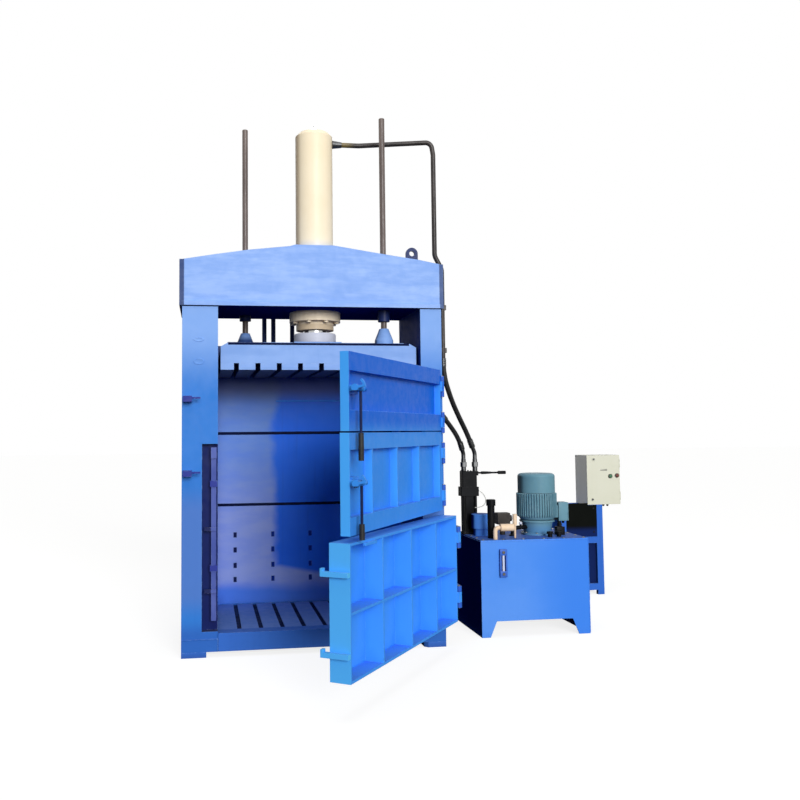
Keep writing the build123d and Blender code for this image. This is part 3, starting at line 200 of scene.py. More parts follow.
def enamel(name, changes):
    look = {**enamelLook, **changes}
    material, tree = startMaterial(name)
    coordinates = addNode(tree, "ShaderNodeTexCoord")
    surface = addNode(tree, "ShaderNodeNewGeometry")
    place = coordinates["Object"]
    along = addNode(tree, "ShaderNodeSeparateXYZ", {0: place})
    patches = unevenness(tree, place, look["patch"], 4, 0.6)
    runs = unevenness(tree, place, (look["streak"], look["streak"], look["streak"] * look["runLength"]))
    colour = linearColour(look["colour"])
    colour = tinted(tree, colour, look["faded"], (patches, *look["patchFade"], look["mottle"]))
    colour = tinted(tree, colour, look["shade"], (runs, *look["runFade"], look["runs"]))
    if look["pattern"]:
        colour = look["pattern"](tree, place, along, colour)
    for axis, low, high, hexText, share in look["zones"]:
        colour = tinted(tree, colour, hexText, (along[axis], low, high, share))
    shadedFaces = 0.0
    # painted light and shade on the faces that look a given way
    for facing, hexText, share in look["faces"]:
        turn = addNode(tree, "ShaderNodeVectorMath", {"operation": "DOT_PRODUCT", 0: coordinates["Normal"],
                                                      1: Vector(facings[facing]).normalized()})
        looking = shareOf(tree, [(turn["Value"], *look["faceFade"], share)])
        colour = tinted(tree, colour, hexText, looking)
        if look["dullFaces"]:
            shadedFaces = addNode(tree, "ShaderNodeMath", {"operation": "MAXIMUM", 0: shadedFaces, 1: looking})[0]
    # grease, dirt and painted shade darken the corners
    corner = addNode(tree, "ShaderNodeAmbientOcclusion", {"samples": 4, "Distance": look["corner"]})
    colour = tinted(tree, colour, look["shade"], (corner["AO"], *look["cornerFade"], look["grimeAndShade"]))
    # dust on whatever faces up
    upward = addNode(tree, "ShaderNodeSeparateXYZ", {0: surface["Normal"]})["Z"]
    specks = unevenness(tree, place, look["speck"], 5, 0.7)
    colour = tinted(tree, colour, look["dust"], (upward, *look["ledgeFade"], look["dustShare"]), specks)
    # arrises, found where the rounded normal leaves the flat one, are lightened in places: rubbed paint with
    # a painted highlight
    wide = addNode(tree, "ShaderNodeBevel", {"samples": 4, "Radius": look["arris"]})
    turn = addNode(tree, "ShaderNodeVectorMath", {"operation": "DOT_PRODUCT", 0: wide[0],
                                                  1: surface["True Normal"]})
    chips = unevenness(tree, place, look["chip"], 4, 0.65)
    colour = tinted(tree, colour, look["edge"], (turn["Value"], *look["arrisFade"]),
                    (chips, *look["chipFade"], look["wearAndHighlight"]))
    # gloss falls where the coat is dusty, and on the faces with painted shade
    dull = addNode(tree, "ShaderNodeMapRange", {
        "interpolation_type": "SMOOTHSTEP", "Value": specks, "From Min": look["speckFade"][0],
        "From Max": look["speckFade"][1], "To Min": look["roughness"] + look["roughBy"][0],
        "To Max": look["roughness"] + look["roughBy"][1]})
    gloss = look["gloss"]
    if look["dullFaces"]:
        gloss = addNode(tree, "ShaderNodeMath", {"operation": "MULTIPLY_ADD", 0: shadedFaces, 1: -gloss,
                                                 2: gloss})[0]
    wave = unevenness(tree, place, look["wave"], 1, 0.5)
    peel = unevenness(tree, place, look["peel"], 2, 0.5)
    wavy = relief(tree, wave, look["rounding"], 0.35, look["waveDepth"])
    skin = addNode(tree, "ShaderNodeBump", {"Strength": 0.1, "Distance": look["peelDepth"], "Height": peel,
                                            "Normal": wavy})
    finishMaterial(tree, {"Coat Weight": look["coat"], "Coat Roughness": 0.2, "Specular IOR Level": gloss,
                          "Base Color": colour, "Roughness": dull[0], "Normal": skin[0]})
    return material


# Columns: painted light pales them toward the head, a lavender wash near the foot, painted shade darkens the
# inside of the lock recess
columnShade = {
    "topLight": (1.72, 2.2, 0.95, "83ABEA"),
    "wash": {"rise": (0.24, 0.42, 0.7), "fall": (1.15, 0.95), "colour": "5478C0"},
    "foot": (0.26, 0.14, 0.9, "2C62B8"),
    "recess": {"left": (-0.8, -0.79), "right": (-0.653, -0.657), "behind": (-0.526, -0.52),
               "colour": "051152"},
}


def columnPattern(tree, place, along, colour):
    x, y, z = along["X"], along["Y"], along["Z"]
    wash, recess = columnShade["wash"], columnShade["recess"]
    # painted light pales the column toward the head
    low, high, share, hexText = columnShade["topLight"]
    colour = tinted(tree, colour, hexText, (z, low, high, share))
    colour = tinted(tree, colour, wash["colour"], (z, *wash["rise"]), (z, *wash["fall"]))
    low, high, share, hexText = columnShade["foot"]
    colour = tinted(tree, colour, hexText, (z, low, high, share))
    # painted shade inside the lock recess
    return tinted(tree, colour, recess["colour"], (x, *recess["left"]), (x, *recess["right"]),
                  (y, *recess["behind"]))


# Press box lining: a painted pale reflection at the left and low down, deep blue on the right, a painted
# shadow under the platen
lining = {
    "edge": (-0.15, -0.24),      # x of the soft border between the two halves
    "wander": 0.16,              # m, how far that border wanders
    "cloud": 300,                # mm, length of its bends
    "band": (0.43, 0.385),       # height of the pale band at the foot, falling to the right
    "fall": 0.2,
    "foot": (0.24, 0.34),
    "paleRise": (0.7, 1.5),
    "paleHigh": "6A92DC",
    "paleLow": "97AAEA",
    "footColour": "4A80EA",
    "glareCloud": (240, 240, 90),     # mm, size of the clouds in the painted reflection
    # painted shadow of the platen high on the lining
    "platenShadow": (1.68, 1.84, 0.75, "4A5080"),
    "back": (0.4450, 0.4438),    # only faces that look into the box carry the painted reflection and shadow
    "sides": ((-0.6625, -0.6612), (0.7505, 0.7492)),
}


def liningPattern(tree, place, along, colour):
    x, z = along["X"], along["Z"]
    bends = unevenness(tree, place, lining["cloud"], 3, 0.5)
    drift = addNode(tree, "ShaderNodeMath", {"operation": "MULTIPLY_ADD", 0: bends, 1: lining["wander"],
                                             2: -lining["wander"] / 2})[0]
    border = addNode(tree, "ShaderNodeMath", {"operation": "ADD", 0: x, 1: drift})[0]
    slope = addNode(tree, "ShaderNodeMath", {"operation": "MULTIPLY_ADD", 0: x, 1: lining["fall"],
                                             2: z})[0]
    height = addNode(tree, "ShaderNodeMath", {"operation": "MULTIPLY_ADD", 0: drift, 1: 0.5, 2: z})[0]
    # painted reflection at the left and in a band low down
    left = shareOf(tree, [(border, *lining["edge"])])
    foot = shareOf(tree, [(slope, *lining["band"])])
    glare = addNode(tree, "ShaderNodeMath", {"operation": "MAXIMUM", 0: left, 1: foot})[0]
    clouds = addNode(tree, "ShaderNodeMapRange", {
        "interpolation_type": "SMOOTHSTEP", "Value": unevenness(tree, place, lining["glareCloud"]),
        "From Min": 0.3, "From Max": 0.7, "To Min": 0.78, "To Max": 1})[0]
    pale = tinted(tree, linearColour(lining["paleLow"]), lining["paleHigh"], (z, *lining["paleRise"]))
    lower = tinted(tree, colour, lining["footColour"], (height, *lining["foot"][::-1]))
    lined = addNode(tree, "ShaderNodeMix", {
        "data_type": "RGBA", 0: shareOf(tree, [glare, (height, *lining["foot"]), clouds]), 6: lower,
        7: pale})[2]
    # the platen's painted shadow
    low, high, share, hexText = lining["platenShadow"]
    shadowed = tinted(tree, lined, hexText, (z, low, high, share))
    inner = shareOf(tree, [(along["Y"], *lining["back"]), *((x, *side) for side in lining["sides"])])
    return addNode(tree, "ShaderNodeMix", {"data_type": "RGBA", 0: inner, 6: colour, 7: shadowed})[2]


# Painted highlight: the lower leaf's free end stands square to the sun and is painted paler than the rest
leafEndHighlight = {"reach": (-0.582, -0.813, 0), "from": (1.6425, 1.6445), "share": 0.9, "colour": "60C8FF"}


def leafEndPattern(tree, place, along, colour):
    reach = addNode(tree, "ShaderNodeVectorMath", {"operation": "DOT_PRODUCT", 0: place,
                                                   1: leafEndHighlight["reach"]})["Value"]
    return tinted(tree, colour, leafEndHighlight["colour"], (reach, *leafEndHighlight["from"], leafEndHighlight["share"]))


# The left rod socket on the platen stands in the crosshead's shade
socketShade = {"right": (-0.3, -0.35), "low": (2.104, 2.108), "high": (2.2, 2.15, 0.95), "colour": "20366E"}


def platenPattern(tree, place, along, colour):
    return tinted(tree, colour, socketShade["colour"], (along["Z"], *socketShade["low"]),
                  (along["X"], *socketShade["right"]), (along["Z"], *socketShade["high"]))


# Bare or plated steel: fine tool marks along one direction, grey oil film and painted shade in the corners
steelLook = {
    "colour": "B4B7BA",
    "dark": "6E6A64",
    "grain": (2, 2, 90),   # mm between marks along x, y and z
    "blot": 55,            # mm, breadth of an oil stain
    "stainFade": (0.45, 0.75),
    "film": 0.35,          # share of the stains
    "corner": 0.03,        # m, how far the oil film and painted shade reach out of a corner
    "cornerFade": (0.9, 0.4),
    "cornerFilmAndShade": 0.6,
    "markFade": (0.3, 0.7),
    "roughness": 0.32,
    "roughBy": (-0.1, 0.12),
    "metal": 1.0,
    "rounding": 0.0012,
    "depth": 0.0002,
}


def steel(name, changes):
    look = {**steelLook, **changes}
    material, tree = startMaterial(name)
    place = addNode(tree, "ShaderNodeTexCoord")["Object"]
    marks = unevenness(tree, place, look["grain"], 4, 0.7)
    blots = unevenness(tree, place, look["blot"], 5, 0.65)
    corner = addNode(tree, "ShaderNodeAmbientOcclusion", {"samples": 4, "Distance": look["corner"]})
    film = addNode(tree, "ShaderNodeMapRange", {
        "From Min": look["cornerFade"][0], "From Max": look["cornerFade"][1], "To Max": look["cornerFilmAndShade"],
        "Value": corner["AO"]})
    stain = addNode(tree, "ShaderNodeMapRange", {
        "From Min": look["stainFade"][0], "From Max": look["stainFade"][1], "To Max": look["film"],
        "Value": blots})
    share = addNode(tree, "ShaderNodeMath", {"operation": "MAXIMUM", 0: film[0], 1: stain[0]})
    rough = addNode(tree, "ShaderNodeMapRange", {
        "From Min": look["markFade"][0], "From Max": look["markFade"][1], "Value": marks,
        "To Min": look["roughness"] + look["roughBy"][0], "To Max": look["roughness"] + look["roughBy"][1]})
    finishMaterial(tree, {
        "Metallic": look["metal"], "Roughness": rough[0],
        "Base Color": tinted(tree, linearColour(look["colour"]), look["dark"], share[0]),
        "Normal": relief(tree, marks, look["rounding"], 0.4, look["depth"])})
    return material


# Rubber and moulded plastic: matt to satin, faint grain, lighter scuffs and dust
mouldedLook = {
    "colour": "1B1C1E",
    "scuff": "4A4B4D",
    "scuffSize": 70,       # mm
    "scuffFade": (0.5, 0.72),
    "scuffShare": 0.35,
    "grain": 6,            # mm
    "roughness": 0.6,
    "roughBy": (-0.1, 0.12),
    "rounding": 0.0015,
    "depth": 0.0006,
}


def moulded(name, changes):
    look = {**mouldedLook, **changes}
    material, tree = startMaterial(name)
    place = addNode(tree, "ShaderNodeTexCoord")["Object"]
    grain = unevenness(tree, place, look["grain"], 3, 0.5)
    scuffs = unevenness(tree, place, look["scuffSize"], 6, 0.72)
    share = addNode(tree, "ShaderNodeMapRange", {
        "From Min": look["scuffFade"][0], "From Max": look["scuffFade"][1], "To Max": look["scuffShare"],
        "Value": scuffs})
    rough = addNode(tree, "ShaderNodeMapRange", {
        "To Min": look["roughness"] + look["roughBy"][0], "To Max": look["roughness"] + look["roughBy"][1],
        "Value": scuffs})
    finishMaterial(tree, {
        "Roughness": rough[0],
        "Base Color": tinted(tree, linearColour(look["colour"]), look["scuff"], share[0]),
        "Normal": relief(tree, grain, look["rounding"], 0.35, look["depth"])})
    return material


enamels = {
    # crosshead: painted light makes it nearly white in broad level patches; painted shade makes its
    # underside, ends and end strips dull navy
    "headEnamel": {
        "colour": "82A8EA", "shade": "6C92DC", "faded": "9CBCF4", "edge": "B4CEF6", "mottle": 0.75,
        "runs": 0.05, "patch": (330, 330, 60), "grimeAndShade": 0.06, "coat": 0, "dullFaces": True,
        "zones": [("X", -0.884, -0.892, "1C2F62", 0.9), ("X", 0.888, 0.894, "1C2F62", 0.8)],
        "faces": [("down", "0A1A78", 1), ("right", "203A7C", 1), ("left", "203A7C", 1)]},
    # columns: clean mid blue, paled with height by painted light, painted shade on the side faces
    "columnEnamel": {
        "colour": "2F78CE", "shade": "2866BC", "faded": "4486DA", "mottle": 0.5, "patch": (300, 300, 420),
        "grimeAndShade": 0.06, "gloss": 0.09, "coat": 0, "dullFaces": True, "pattern": columnPattern,
        "faces": [("right", "14245A", 0.9), ("left", "0A2678", 0.95)]},
    # leaves: fresh bright blue, the strongest colour on the machine, with a painted highlight on the free
    # ends
    "doorEnamel": {
        "colour": "3F98FA", "shade": "2E7FE6", "faded": "55A8FF", "edge": "86C0FF", "mottle": 0.4,
        "gloss": 0.1, "pattern": leafEndPattern, "faces": [("leafEnd", "4AA6FF", 0.6)]},
    "upperDoorEnamel": {
        "colour": "3A92F4", "shade": "2A74DE", "faded": "4EA0FC", "edge": "86C0FF", "mottle": 0.4,
        "gloss": 0.09, "streak": 70, "zones": [("Z", 1.44, 1.56, "0E6AE0", 1)],
        "faces": [("leafEnd", "4CAEFF", 0.8)]},
    # painted-over weld beads: a little deeper than the plate beside them
    "weldEnamel": {"colour": "348AF2", "shade": "2A72DC", "faded": "4496F8", "edge": "86C0FF", "dustShare": 0,
                   "grimeAndShade": 0.2, "wearAndHighlight": 0.2},
    # lining and floor of the press box, worn by bales: the floor a pale greyish blue, the lining deep blue
    # under a painted pale reflection and shadow
    "chamberEnamel": {
        "colour": "1E6CF0", "shade": "1B3F96", "faded": "2E7AF6", "edge": "7D9FDC", "wearAndHighlight": 0.5,
        "roughness": 0.44, "mottle": 0.4, "pattern": liningPattern, "wave": 260},
    "floorEnamel": {
        "colour": "6088D4", "shade": "2A4684", "faded": "769ADE", "edge": "8FA3C4", "wearAndHighlight": 0.7,
        "dustShare": 0.06, "gloss": 0.15},
    # base frame: darker toward the floor
    "baseEnamel": {"colour": "3068C4", "shade": "2450A0", "faded": "3E76D0", "dustShare": 0.08,
                   "zones": [("Z", 0.05, 0.0, "2E549E", 0.6)]},
    # platen: pale from painted light and streaked level; painted shade on its top and sides; greyish brown
    # underneath
    "platenEnamel": {
        "colour": "789FDE", "shade": "547EC8", "faded": "8CB0EA", "edge": "B4CDF4", "mottle": 0.6,
        "patch": (360, 360, 90), "dustShare": 0.05, "gloss": 0.12, "grimeAndShade": 0.1, "pattern": platenPattern,
        "faces": [("up", "2A4884", 0.9), ("down", "6A6070", 1), ("right", "1B2C5C", 0.9),
                  ("left", "1B2C5C", 0.9)]},
    # oil tank: even satin blue; painted shade makes it almost black on the side away from the sun, and darker
    # on top
    "tankEnamel": {
        "colour": "5090EC", "shade": "3A76DA", "faded": "689EF2", "edge": "9CC0F6", "patch": (500, 500, 420),
        "wave": 320, "runs": 0.06, "mottle": 0.4, "gloss": 0.07, "coat": 0, "dullFaces": True,
        "zones": [("X", 1.45, 1.95, "3780EA", 0.75)],
        "faces": [("left", "041868", 1), ("up", "2B55AC", 0.85)]},
    # stand: painted shade on its left side
    "standEnamel": {"colour": "3068C8", "shade": "1E4290", "faded": "3872D4", "gloss": 0.08,
                    "faces": [("left", "223C7C", 0.8)]},
    # cylinder: warm cream, browner at the sides from painted shade, with a painted bluish reflection of the
    # head low down
    "creamEnamel": {
        "colour": "F6E6C6", "shade": "DECBA6", "faded": "FCEFD4", "edge": "FFF8E8", "mottle": 0.5,
        "wearAndHighlight": 0.2, "dust": "B9AE97", "runs": 0.05, "roughness": 0.36,
        "zones": [("Z", 2.88, 2.79, "BFC9DE", 0.7)],
        "faces": [("barrelLeft", "B49A78", 0.7), ("barrelRight", "C2AC88", 0.5)]},
    "pipeCream": {"colour": "F0D4B4", "shade": "B08C64", "faded": "F8E4CC", "edge": "FFF2E0",
                  "patch": (50, 50, 50), "grimeAndShade": 0.7, "dustShare": 0.05},
    # gland: cream, browner at its lower rim
    "glandEnamel": {
        "colour": "FAE8C8", "shade": "C4A47A", "faded": "FFF4DE", "edge": "FFF6E6", "mottle": 0.5,
        "grimeAndShade": 0.35, "dustShare": 0.05, "zones": [("Z", 2.262, 2.25, "8A6C48", 0.5)]},
    # control box: light grey powder coat, finer peel than the plate work; painted light brightens its left
    # side
    "boxEnamel": {
        "colour": "D6D6C2", "shade": "BEBEA8", "faded": "E0E0D0", "edge": "F6F6EE", "mottle": 0.4,
        "wearAndHighlight": 0.2, "peel": 9, "wave": 240, "dust": "B7B6A4", "runs": 0.05,
        "faces": [("left", "FFFFF4", 1)]},
    # ram flange: white primer with grease and painted shade in its corners
    "flangeEnamel": {"colour": "D0D4E2", "shade": "868AA2", "faded": "E2E5F0", "edge": "F4F6FA",
                     "grimeAndShade": 0.7},
    # motor: dusty teal over a casting, bluish near the tank lid, painted shade on its left side
    "motorEnamel": {
        "colour": "638E9E", "shade": "4A7080", "faded": "76A2B0", "edge": "A8C2CA", "patch": (260, 260, 260),
        "peel": 10, "roughness": 0.46, "mottle": 0.5, "grimeAndShade": 0.25, "faces": [("motorLeft", "1E3038", 0.8)],
        "zones": [("Z", 0.80, 0.72, "4C86C0", 0.6)]},
    # navy fittings deepened with painted shade, and the painted shade in gaps: dark, matt, with no dust to
    # lighten them
    "navyShadeEnamel": {
        "colour": "182654", "shade": "0A1230", "faded": "243668", "edge": "5C74A8", "mottle": 0.5,
        "dustShare": 0.04, "gloss": 0.15},
    "gapShadePaint": {
        "colour": "0A1233", "shade": "050916", "faded": "121E48", "edge": "1C2A58", "mottle": 0.4,
        "dustShare": 0, "gloss": 0.03, "coat": 0},
    # painted shade in the tie pockets, bluer on the right
    "pocketShadePaint": {
        "colour": "182050", "shade": "0E1434", "faded": "242C60", "gloss": 0.03, "coat": 0, "dustShare": 0,
        "grimeAndShade": 0, "zones": [("X", -0.28, -0.2, "0C3296", 0.9)]},
    # valve and stand: oily black, worn grey on the edges
    "blackEnamel": {
        "colour": "0C0D10", "shade": "050607", "faded": "1A1B1E", "edge": "4A4C50", "dust": "5A564E",
        "gloss": 0.08, "coat": 0, "mottle": 0.6, "patch": (120, 120, 120), "dustShare": 0.06},
    # stand panels: near black, partly the painted shade of their recess, bluer low down
    "panelPaint": {
        "colour": "060806", "shade": "020302", "faded": "0E120E", "edge": "2A2E2A", "gloss": 0.03, "coat": 0,
        "dustShare": 0, "zones": [("Z", 0.62, 0.56, "10245C", 0.9)]},
    # oil pipes: blackened tube, brassy at the joint by the cylinder
    "pipeEnamel": {
        "colour": "2A2625", "shade": "141212", "faded": "453E3B", "edge": "8C8781", "dust": "8A8578",
        "gloss": 0.3, "mottle": 0.7, "patch": (160, 160, 160),
        "zones": [("X", 0.36, 0.27, "7A6A3C", 0.8)]},
    # pump and relief valve: grey-brown primer on a rough casting
    "castPaint": {
        "colour": "3A3634", "shade": "1C1A18", "faded": "565049", "edge": "8A847C", "peel": 7,
        "roughness": 0.55, "coat": 0, "patch": (90, 90, 90), "dustShare": 0.08},
    # guide rods: oiled steel gone brown, rain marks down its length, a painted sheen on the side facing left
    "guideSteel": {
        "colour": "5A4E4A", "shade": "2E2624", "faded": "776A64", "edge": "A09890", "patch": (60, 60, 420),
        "roughness": 0.4, "gloss": 0.4, "mottle": 0.8, "streak": 12, "runs": 0.4, "dustShare": 0,
        "faces": [("rodLeft", "8A8078", 0.5)]},
    # lock bar: thin violet-blue coat, rubbed through along its edge; painted shade on its left side and left
    # strip
    "barEnamel": {
        "colour": "42529C", "shade": "2A3278", "faded": "6272B8", "edge": "A8B4E4", "mottle": 0.8,
        "streak": 20, "runs": 0.3, "gloss": 0.08, "faces": [("left", "0A1238", 1)],
        "zones": [("X", -0.704, -0.708, "0C1440", 0.9)]},
    # brackets and keepers: painted shade on those left of the middle
    "bracketEnamel": {"colour": "2C5CC0", "shade": "1C3C8C", "faded": "3A6CD0",
                      "zones": [("X", 0.2, -0.2, "26348E", 1)]},
    "gaugePaint": {"colour": "3A66C4", "shade": "1A2A66", "faded": "5080DC", "patch": (60, 60, 60),
                   "grimeAndShade": 0.9, "edge": "7098E0"},
}
# Latch levers: navy rod and grip, with the boss above painted over in door blue
leverPaint = {
    "look": {"colour": "141E48", "shade": "0A1230", "faded": "22305C", "edge": "5C74A8", "gloss": 0.1,
             "dustShare": 0.04},
    "boss": {"topLeverPaint": 1.692, "middleLeverPaint": 1.197},
    "blend": 0.006,
    "bossColour": "3A90F0",
}
for name, height in leverPaint["boss"].items():
    boss = ("Z", height, height + leverPaint["blend"], leverPaint["bossColour"], 1)
    enamels[name] = {**leverPaint["look"], "zones": [boss]}
steels = {
    # ram: hard chrome, mirror-like, marks round it
    "hardChrome": {"colour": "D2D5D8", "dark": "A6A39B", "roughness": 0.16, "film": 0.2,
                   "grain": (60, 60, 1.2), "depth": 0.00005},
    # screws, pins and locks: dull zinc with oil on it
    "platedSteel": {"colour": "A9ABAA", "dark": "4A463F", "film": 0.5},
    "ferruleSteel": {"colour": "5E5F60", "dark": "26241F", "film": 0.6, "roughness": 0.4},
    "plateGrey": {"colour": "8E8E84", "dark": "5C5C54", "metal": 0.6, "roughness": 0.5},
    "loopTube": {"colour": "CFCFC8", "dark": "8E8E88", "metal": 0.4, "roughness": 0.4},
    "platedMount": {"colour": "9C9F9E", "dark": "55585C", "roughness": 0.45, "grain": (14, 14, 14)},
}
mouldings = {
    # hose cover and lever grips: black rubber, scuffed grey
    "hoseRubber": {"colour": "161617", "scuff": "403E3B", "grain": 5, "roughness": 0.58},
    "gripRubber": {"colour": "0C0D10", "scuff": "26282C"},
    # push buttons: hard shiny plastic
    "buttonGreen": {"colour": "2C6A45", "scuff": "4B8A63", "roughness": 0.3, "grain": 12},
    "buttonRed": {"colour": "6E3226", "scuff": "934C3E", "roughness": 0.3, "grain": 12},
    "buttonBezel": {"colour": "4A4A44", "scuff": "7A7A70", "roughness": 0.4},
    # sight tube: pale acrylic that mirrors the sky
    "gaugeWindow": {"colour": "D4DCF4", "scuff": "EEF2FA", "roughness": 0.15, "grain": 30},
}
finishes = {name: enamel(name, look) for name, look in enamels.items()}
finishes.update({name: steel(name, look) for name, look in steels.items()})
finishes.update({name: moulded(name, look) for name, look in mouldings.items()})
print("finishes ready:", len(finishes))

nodeFinish = {
    "headEnamel": ["crosshead_base", "crosshead_shell"],
    "columnEnamel": ["columns"],
    "doorEnamel": ["lower_leaf"],
    "bracketEnamel": ["hinge_brackets", "latch_keepers"],
    "upperDoorEnamel": ["top_leaf", "middle_leaf"],
    "chamberEnamel": ["chamber_walls", "rear_stiffeners"],
    "floorEnamel": ["floor_slats"],
    "baseEnamel": ["base_frame", "foot_pads"],
    "platenEnamel": ["platen_body", "platen_bars"],
    "tankEnamel": ["oil_tank", "tank_lid_plate", "return_filter"],
    "standEnamel": ["control_stand"],
    "creamEnamel": ["cylinder_barrel"],
    "pipeCream": ["return_pipe", "gauge_riser"],
    "glandEnamel": ["gland", "gland_bolts"],
    "boxEnamel": ["control_box", "box_door_leaf"],
    "flangeEnamel": ["ram_flange"],
    "motorEnamel": ["motor_body", "motor_cowl", "bellhousing"],
    "navyShadeEnamel": ["lifting_lug", "rear_struts", "rod_bushes"],
    "topLeverPaint": ["top_latch_lever"],
    "middleLeverPaint": ["middle_latch_lever"],
    "blackEnamel": ["valve_stand", "valve_body", "valve_lever", "lid_caps"],
    "panelPaint": ["stand_panels"],
    "pipeEnamel": ["oil_pipes"],
    "castPaint": ["oil_pump", "relief_valve", "motor_rotor"],
    "hardChrome": ["ram"],
    "guideSteel": ["guide_rods"],
    "platedSteel": ["cylinder_eye", "hinge_pins"],
    "ferruleSteel": ["hose_fittings", "upper_lock", "lower_lock"],
    "barEnamel": ["lock_bar"],
    "gripRubber": ["top_lever_grip", "middle_lever_grip"],
    "buttonGreen": ["start_button"],
    "buttonRed": ["stop_button"],
    "gaugeWindow": ["level_gauge"],
    "platedMount": ["control_gear"],
}
for finish, names in nodeFinish.items():
    for name in names:
        part = nodes[name]
        if not part.material_slots:
            part.data.materials.append(finishes[finish])
        for socket in part.material_slots:
            socket.material = finishes[finish]
print("frame nodes painted")


# Shapes that the pieces are built from
def joinShape(bm, shape, place=None):
    if place is not None:
        bmesh.ops.transform(shape, matrix=place, verts=shape.verts)
    bmesh.ops.recalc_face_normals(shape, faces=shape.faces)
    data = bpy.data.meshes.new("shape")
    shape.to_mesh(data)
    shape.free()
    bm.from_mesh(data)
    bpy.data.meshes.remove(data)


# Profile points are (distance along the axis, radius): a hollow one closes on itself, a solid one at the axis
def turned(bm, start, axis, profile, sides, hollow=False, squash=Matrix()):
    if hollow:
        outline = [*profile, profile[0]]
    else:
        outline = [(profile[0][0], 0), *profile]
        outline += [(profile[-1][0], 0)] if profile[-1][1] > 0 else []
    spin = Vector(axis).normalized().to_track_quat("Z", "Y").to_matrix().to_4x4()
    angles = [2 * math.pi * k / sides for k in range(sides)]
    shape = bmesh.new()
    rings = []
    for along, radius in outline:
        needed = angles if radius else angles[:1]
        spots = [(radius * math.cos(a), radius * math.sin(a), along) for a in needed]
        rings.append([shape.verts.new(spot) for spot in spots])
    for low, high in zip(rings, rings[1:]):
        for k in range(sides):
            n = (k + 1) % sides
            if len(low) == 1:
                shape.faces.new((low[0], high[n], high[k]))
            elif len(high) == 1:
                shape.faces.new((low[k], low[n], high[0]))
            else:
                shape.faces.new((low[k], low[n], high[n], high[k]))
    bmesh.ops.remove_doubles(shape, verts=shape.verts, dist=1e-7)
    joinShape(bm, shape, squash @ Matrix.Translation(start) @ spin)


def block(bm, low, high, bevel):
    low, high = Vector(low), Vector(high)
    shape = bmesh.new()
    size = Matrix.Diagonal((*(high - low), 1))
    bmesh.ops.create_cube(shape, size=1, matrix=Matrix.Translation((low + high) / 2) @ size)
    if bevel:
        bmesh.ops.bevel(shape, geom=list(shape.edges), offset=bevel, segments=2, profile=0.6, affect="EDGES")
    joinShape(bm, shape)


def bentRod(name, points, radius, order, steps, roundness):
    data = bpy.data.curves.new(name, "CURVE")
    data.dimensions = "3D"
    spline = data.splines.new("NURBS")
    spline.points.add(len(points) - 1)
    for point, spot in zip(spline.points, points):
        point.co = (*spot, 1)
    spline.order_u = order
    spline.use_endpoint_u = True
    spline.resolution_u = steps
    data.bevel_depth = radius
    data.bevel_resolution = roundness
    data.use_fill_caps = True
    rod = bpy.data.objects.new(name, data)
    collection.objects.link(rod)
    return rod


def addPiece(name, bm, finish, body, smooth=38):
    data = bpy.data.meshes.new(name)
    bm.to_mesh(data)
    bm.free()
    for face in data.polygons:
        face.use_smooth = True
    data.set_sharp_from_angle(angle=math.radians(smooth))
    data.materials.append(finishes[finish])
    piece = bpy.data.objects.new(name, data)
    collection.objects.link(piece)
    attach(piece, body)
    return piece


# A piece of blocks (low, high, bevel) and of parts turned about an axis (place, axis, profile, sides)
def makePiece(name, finish, body, shapes, smooth=38):
    bm = bmesh.new()
    for low, high, bevel in shapes.get("blocks", ()):
        block(bm, low, high, bevel)
    for place, axis, profile, sides in shapes.get("turned", ()):
        turned(bm, place, axis, profile, sides, shapes.get("hollow", False))
    return addPiece(name, bm, finish, body, smooth)


up, down, front, right = (0, 0, 1), (0, 0, -1), (0, -1, 0), (1, 0, 0)

# Hoses: each is one smooth curve between two crimped ends
hoseRuns = {
    "outerHose": {
        "node": "outer_hose",
        "points": [(1.003, -0.195, 2.020), (1.003, -0.195, 1.900), (1.080, -0.128, 1.715),
                   (1.170, -0.030, 1.580), (1.26398, 0.07299, 1.45309), (1.30799, 0.095, 1.35472)],
        "length": 0.8144,
        "diameter": 0.038,
    },
    "innerHose": {
        "node": "inner_hose",
        "points": [(1.02449, -0.03743, 1.60887), (1.09689, 0.00394, 1.53713), (1.19498, 0.07048, 1.41755),
                   (1.22523, 0.09534, 1.33651)],
        "length": 0.3675,
        "diameter": 0.036,
    },
}
ferrule = {"length": 0.062, "wall": 0.0045, "rim": 0.003, "grooves": 4, "first": 0.006, "depth": 0.0028}


def hoseEnd(name, start, inward, radius):
    length, rim, outer = ferrule["length"], ferrule["rim"], radius + ferrule["wall"]
    step, bottom = length / (2 * ferrule["grooves"]), outer - ferrule["depth"]
    profile = [(-0.001, outer - rim), (0.002, outer)]
    for k in range(ferrule["grooves"]):
        base = ferrule["first"] + 2 * k * step
        profile += [(base, outer), (base + 0.3 * step, bottom), (base + 0.8 * step, bottom),
                    (base + 1.1 * step, outer)]
    profile += [(length, outer), (length + rim, radius + 0.001)]
    shapes = {"turned": [(start, inward, profile, 32)]}
    return makePiece(name, "ferruleSteel", "press", shapes)


for name, run in hoseRuns.items():
    hose = bentRod(name, run["points"], run["diameter"] / 2, 3, 24, 6)
    hose.data.materials.append(finishes["hoseRubber"])
    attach(hose, "press")
    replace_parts(hose, run["node"])
    spots = [Vector(spot) for spot in run["points"]]
    ends = [hoseEnd(name + "StartFerrule", spots[0], spots[1] - spots[0], run["diameter"] / 2),
            hoseEnd(name + "EndFerrule", spots[-1], spots[-2] - spots[-1], run["diameter"] / 2)]
print("hoses laid")


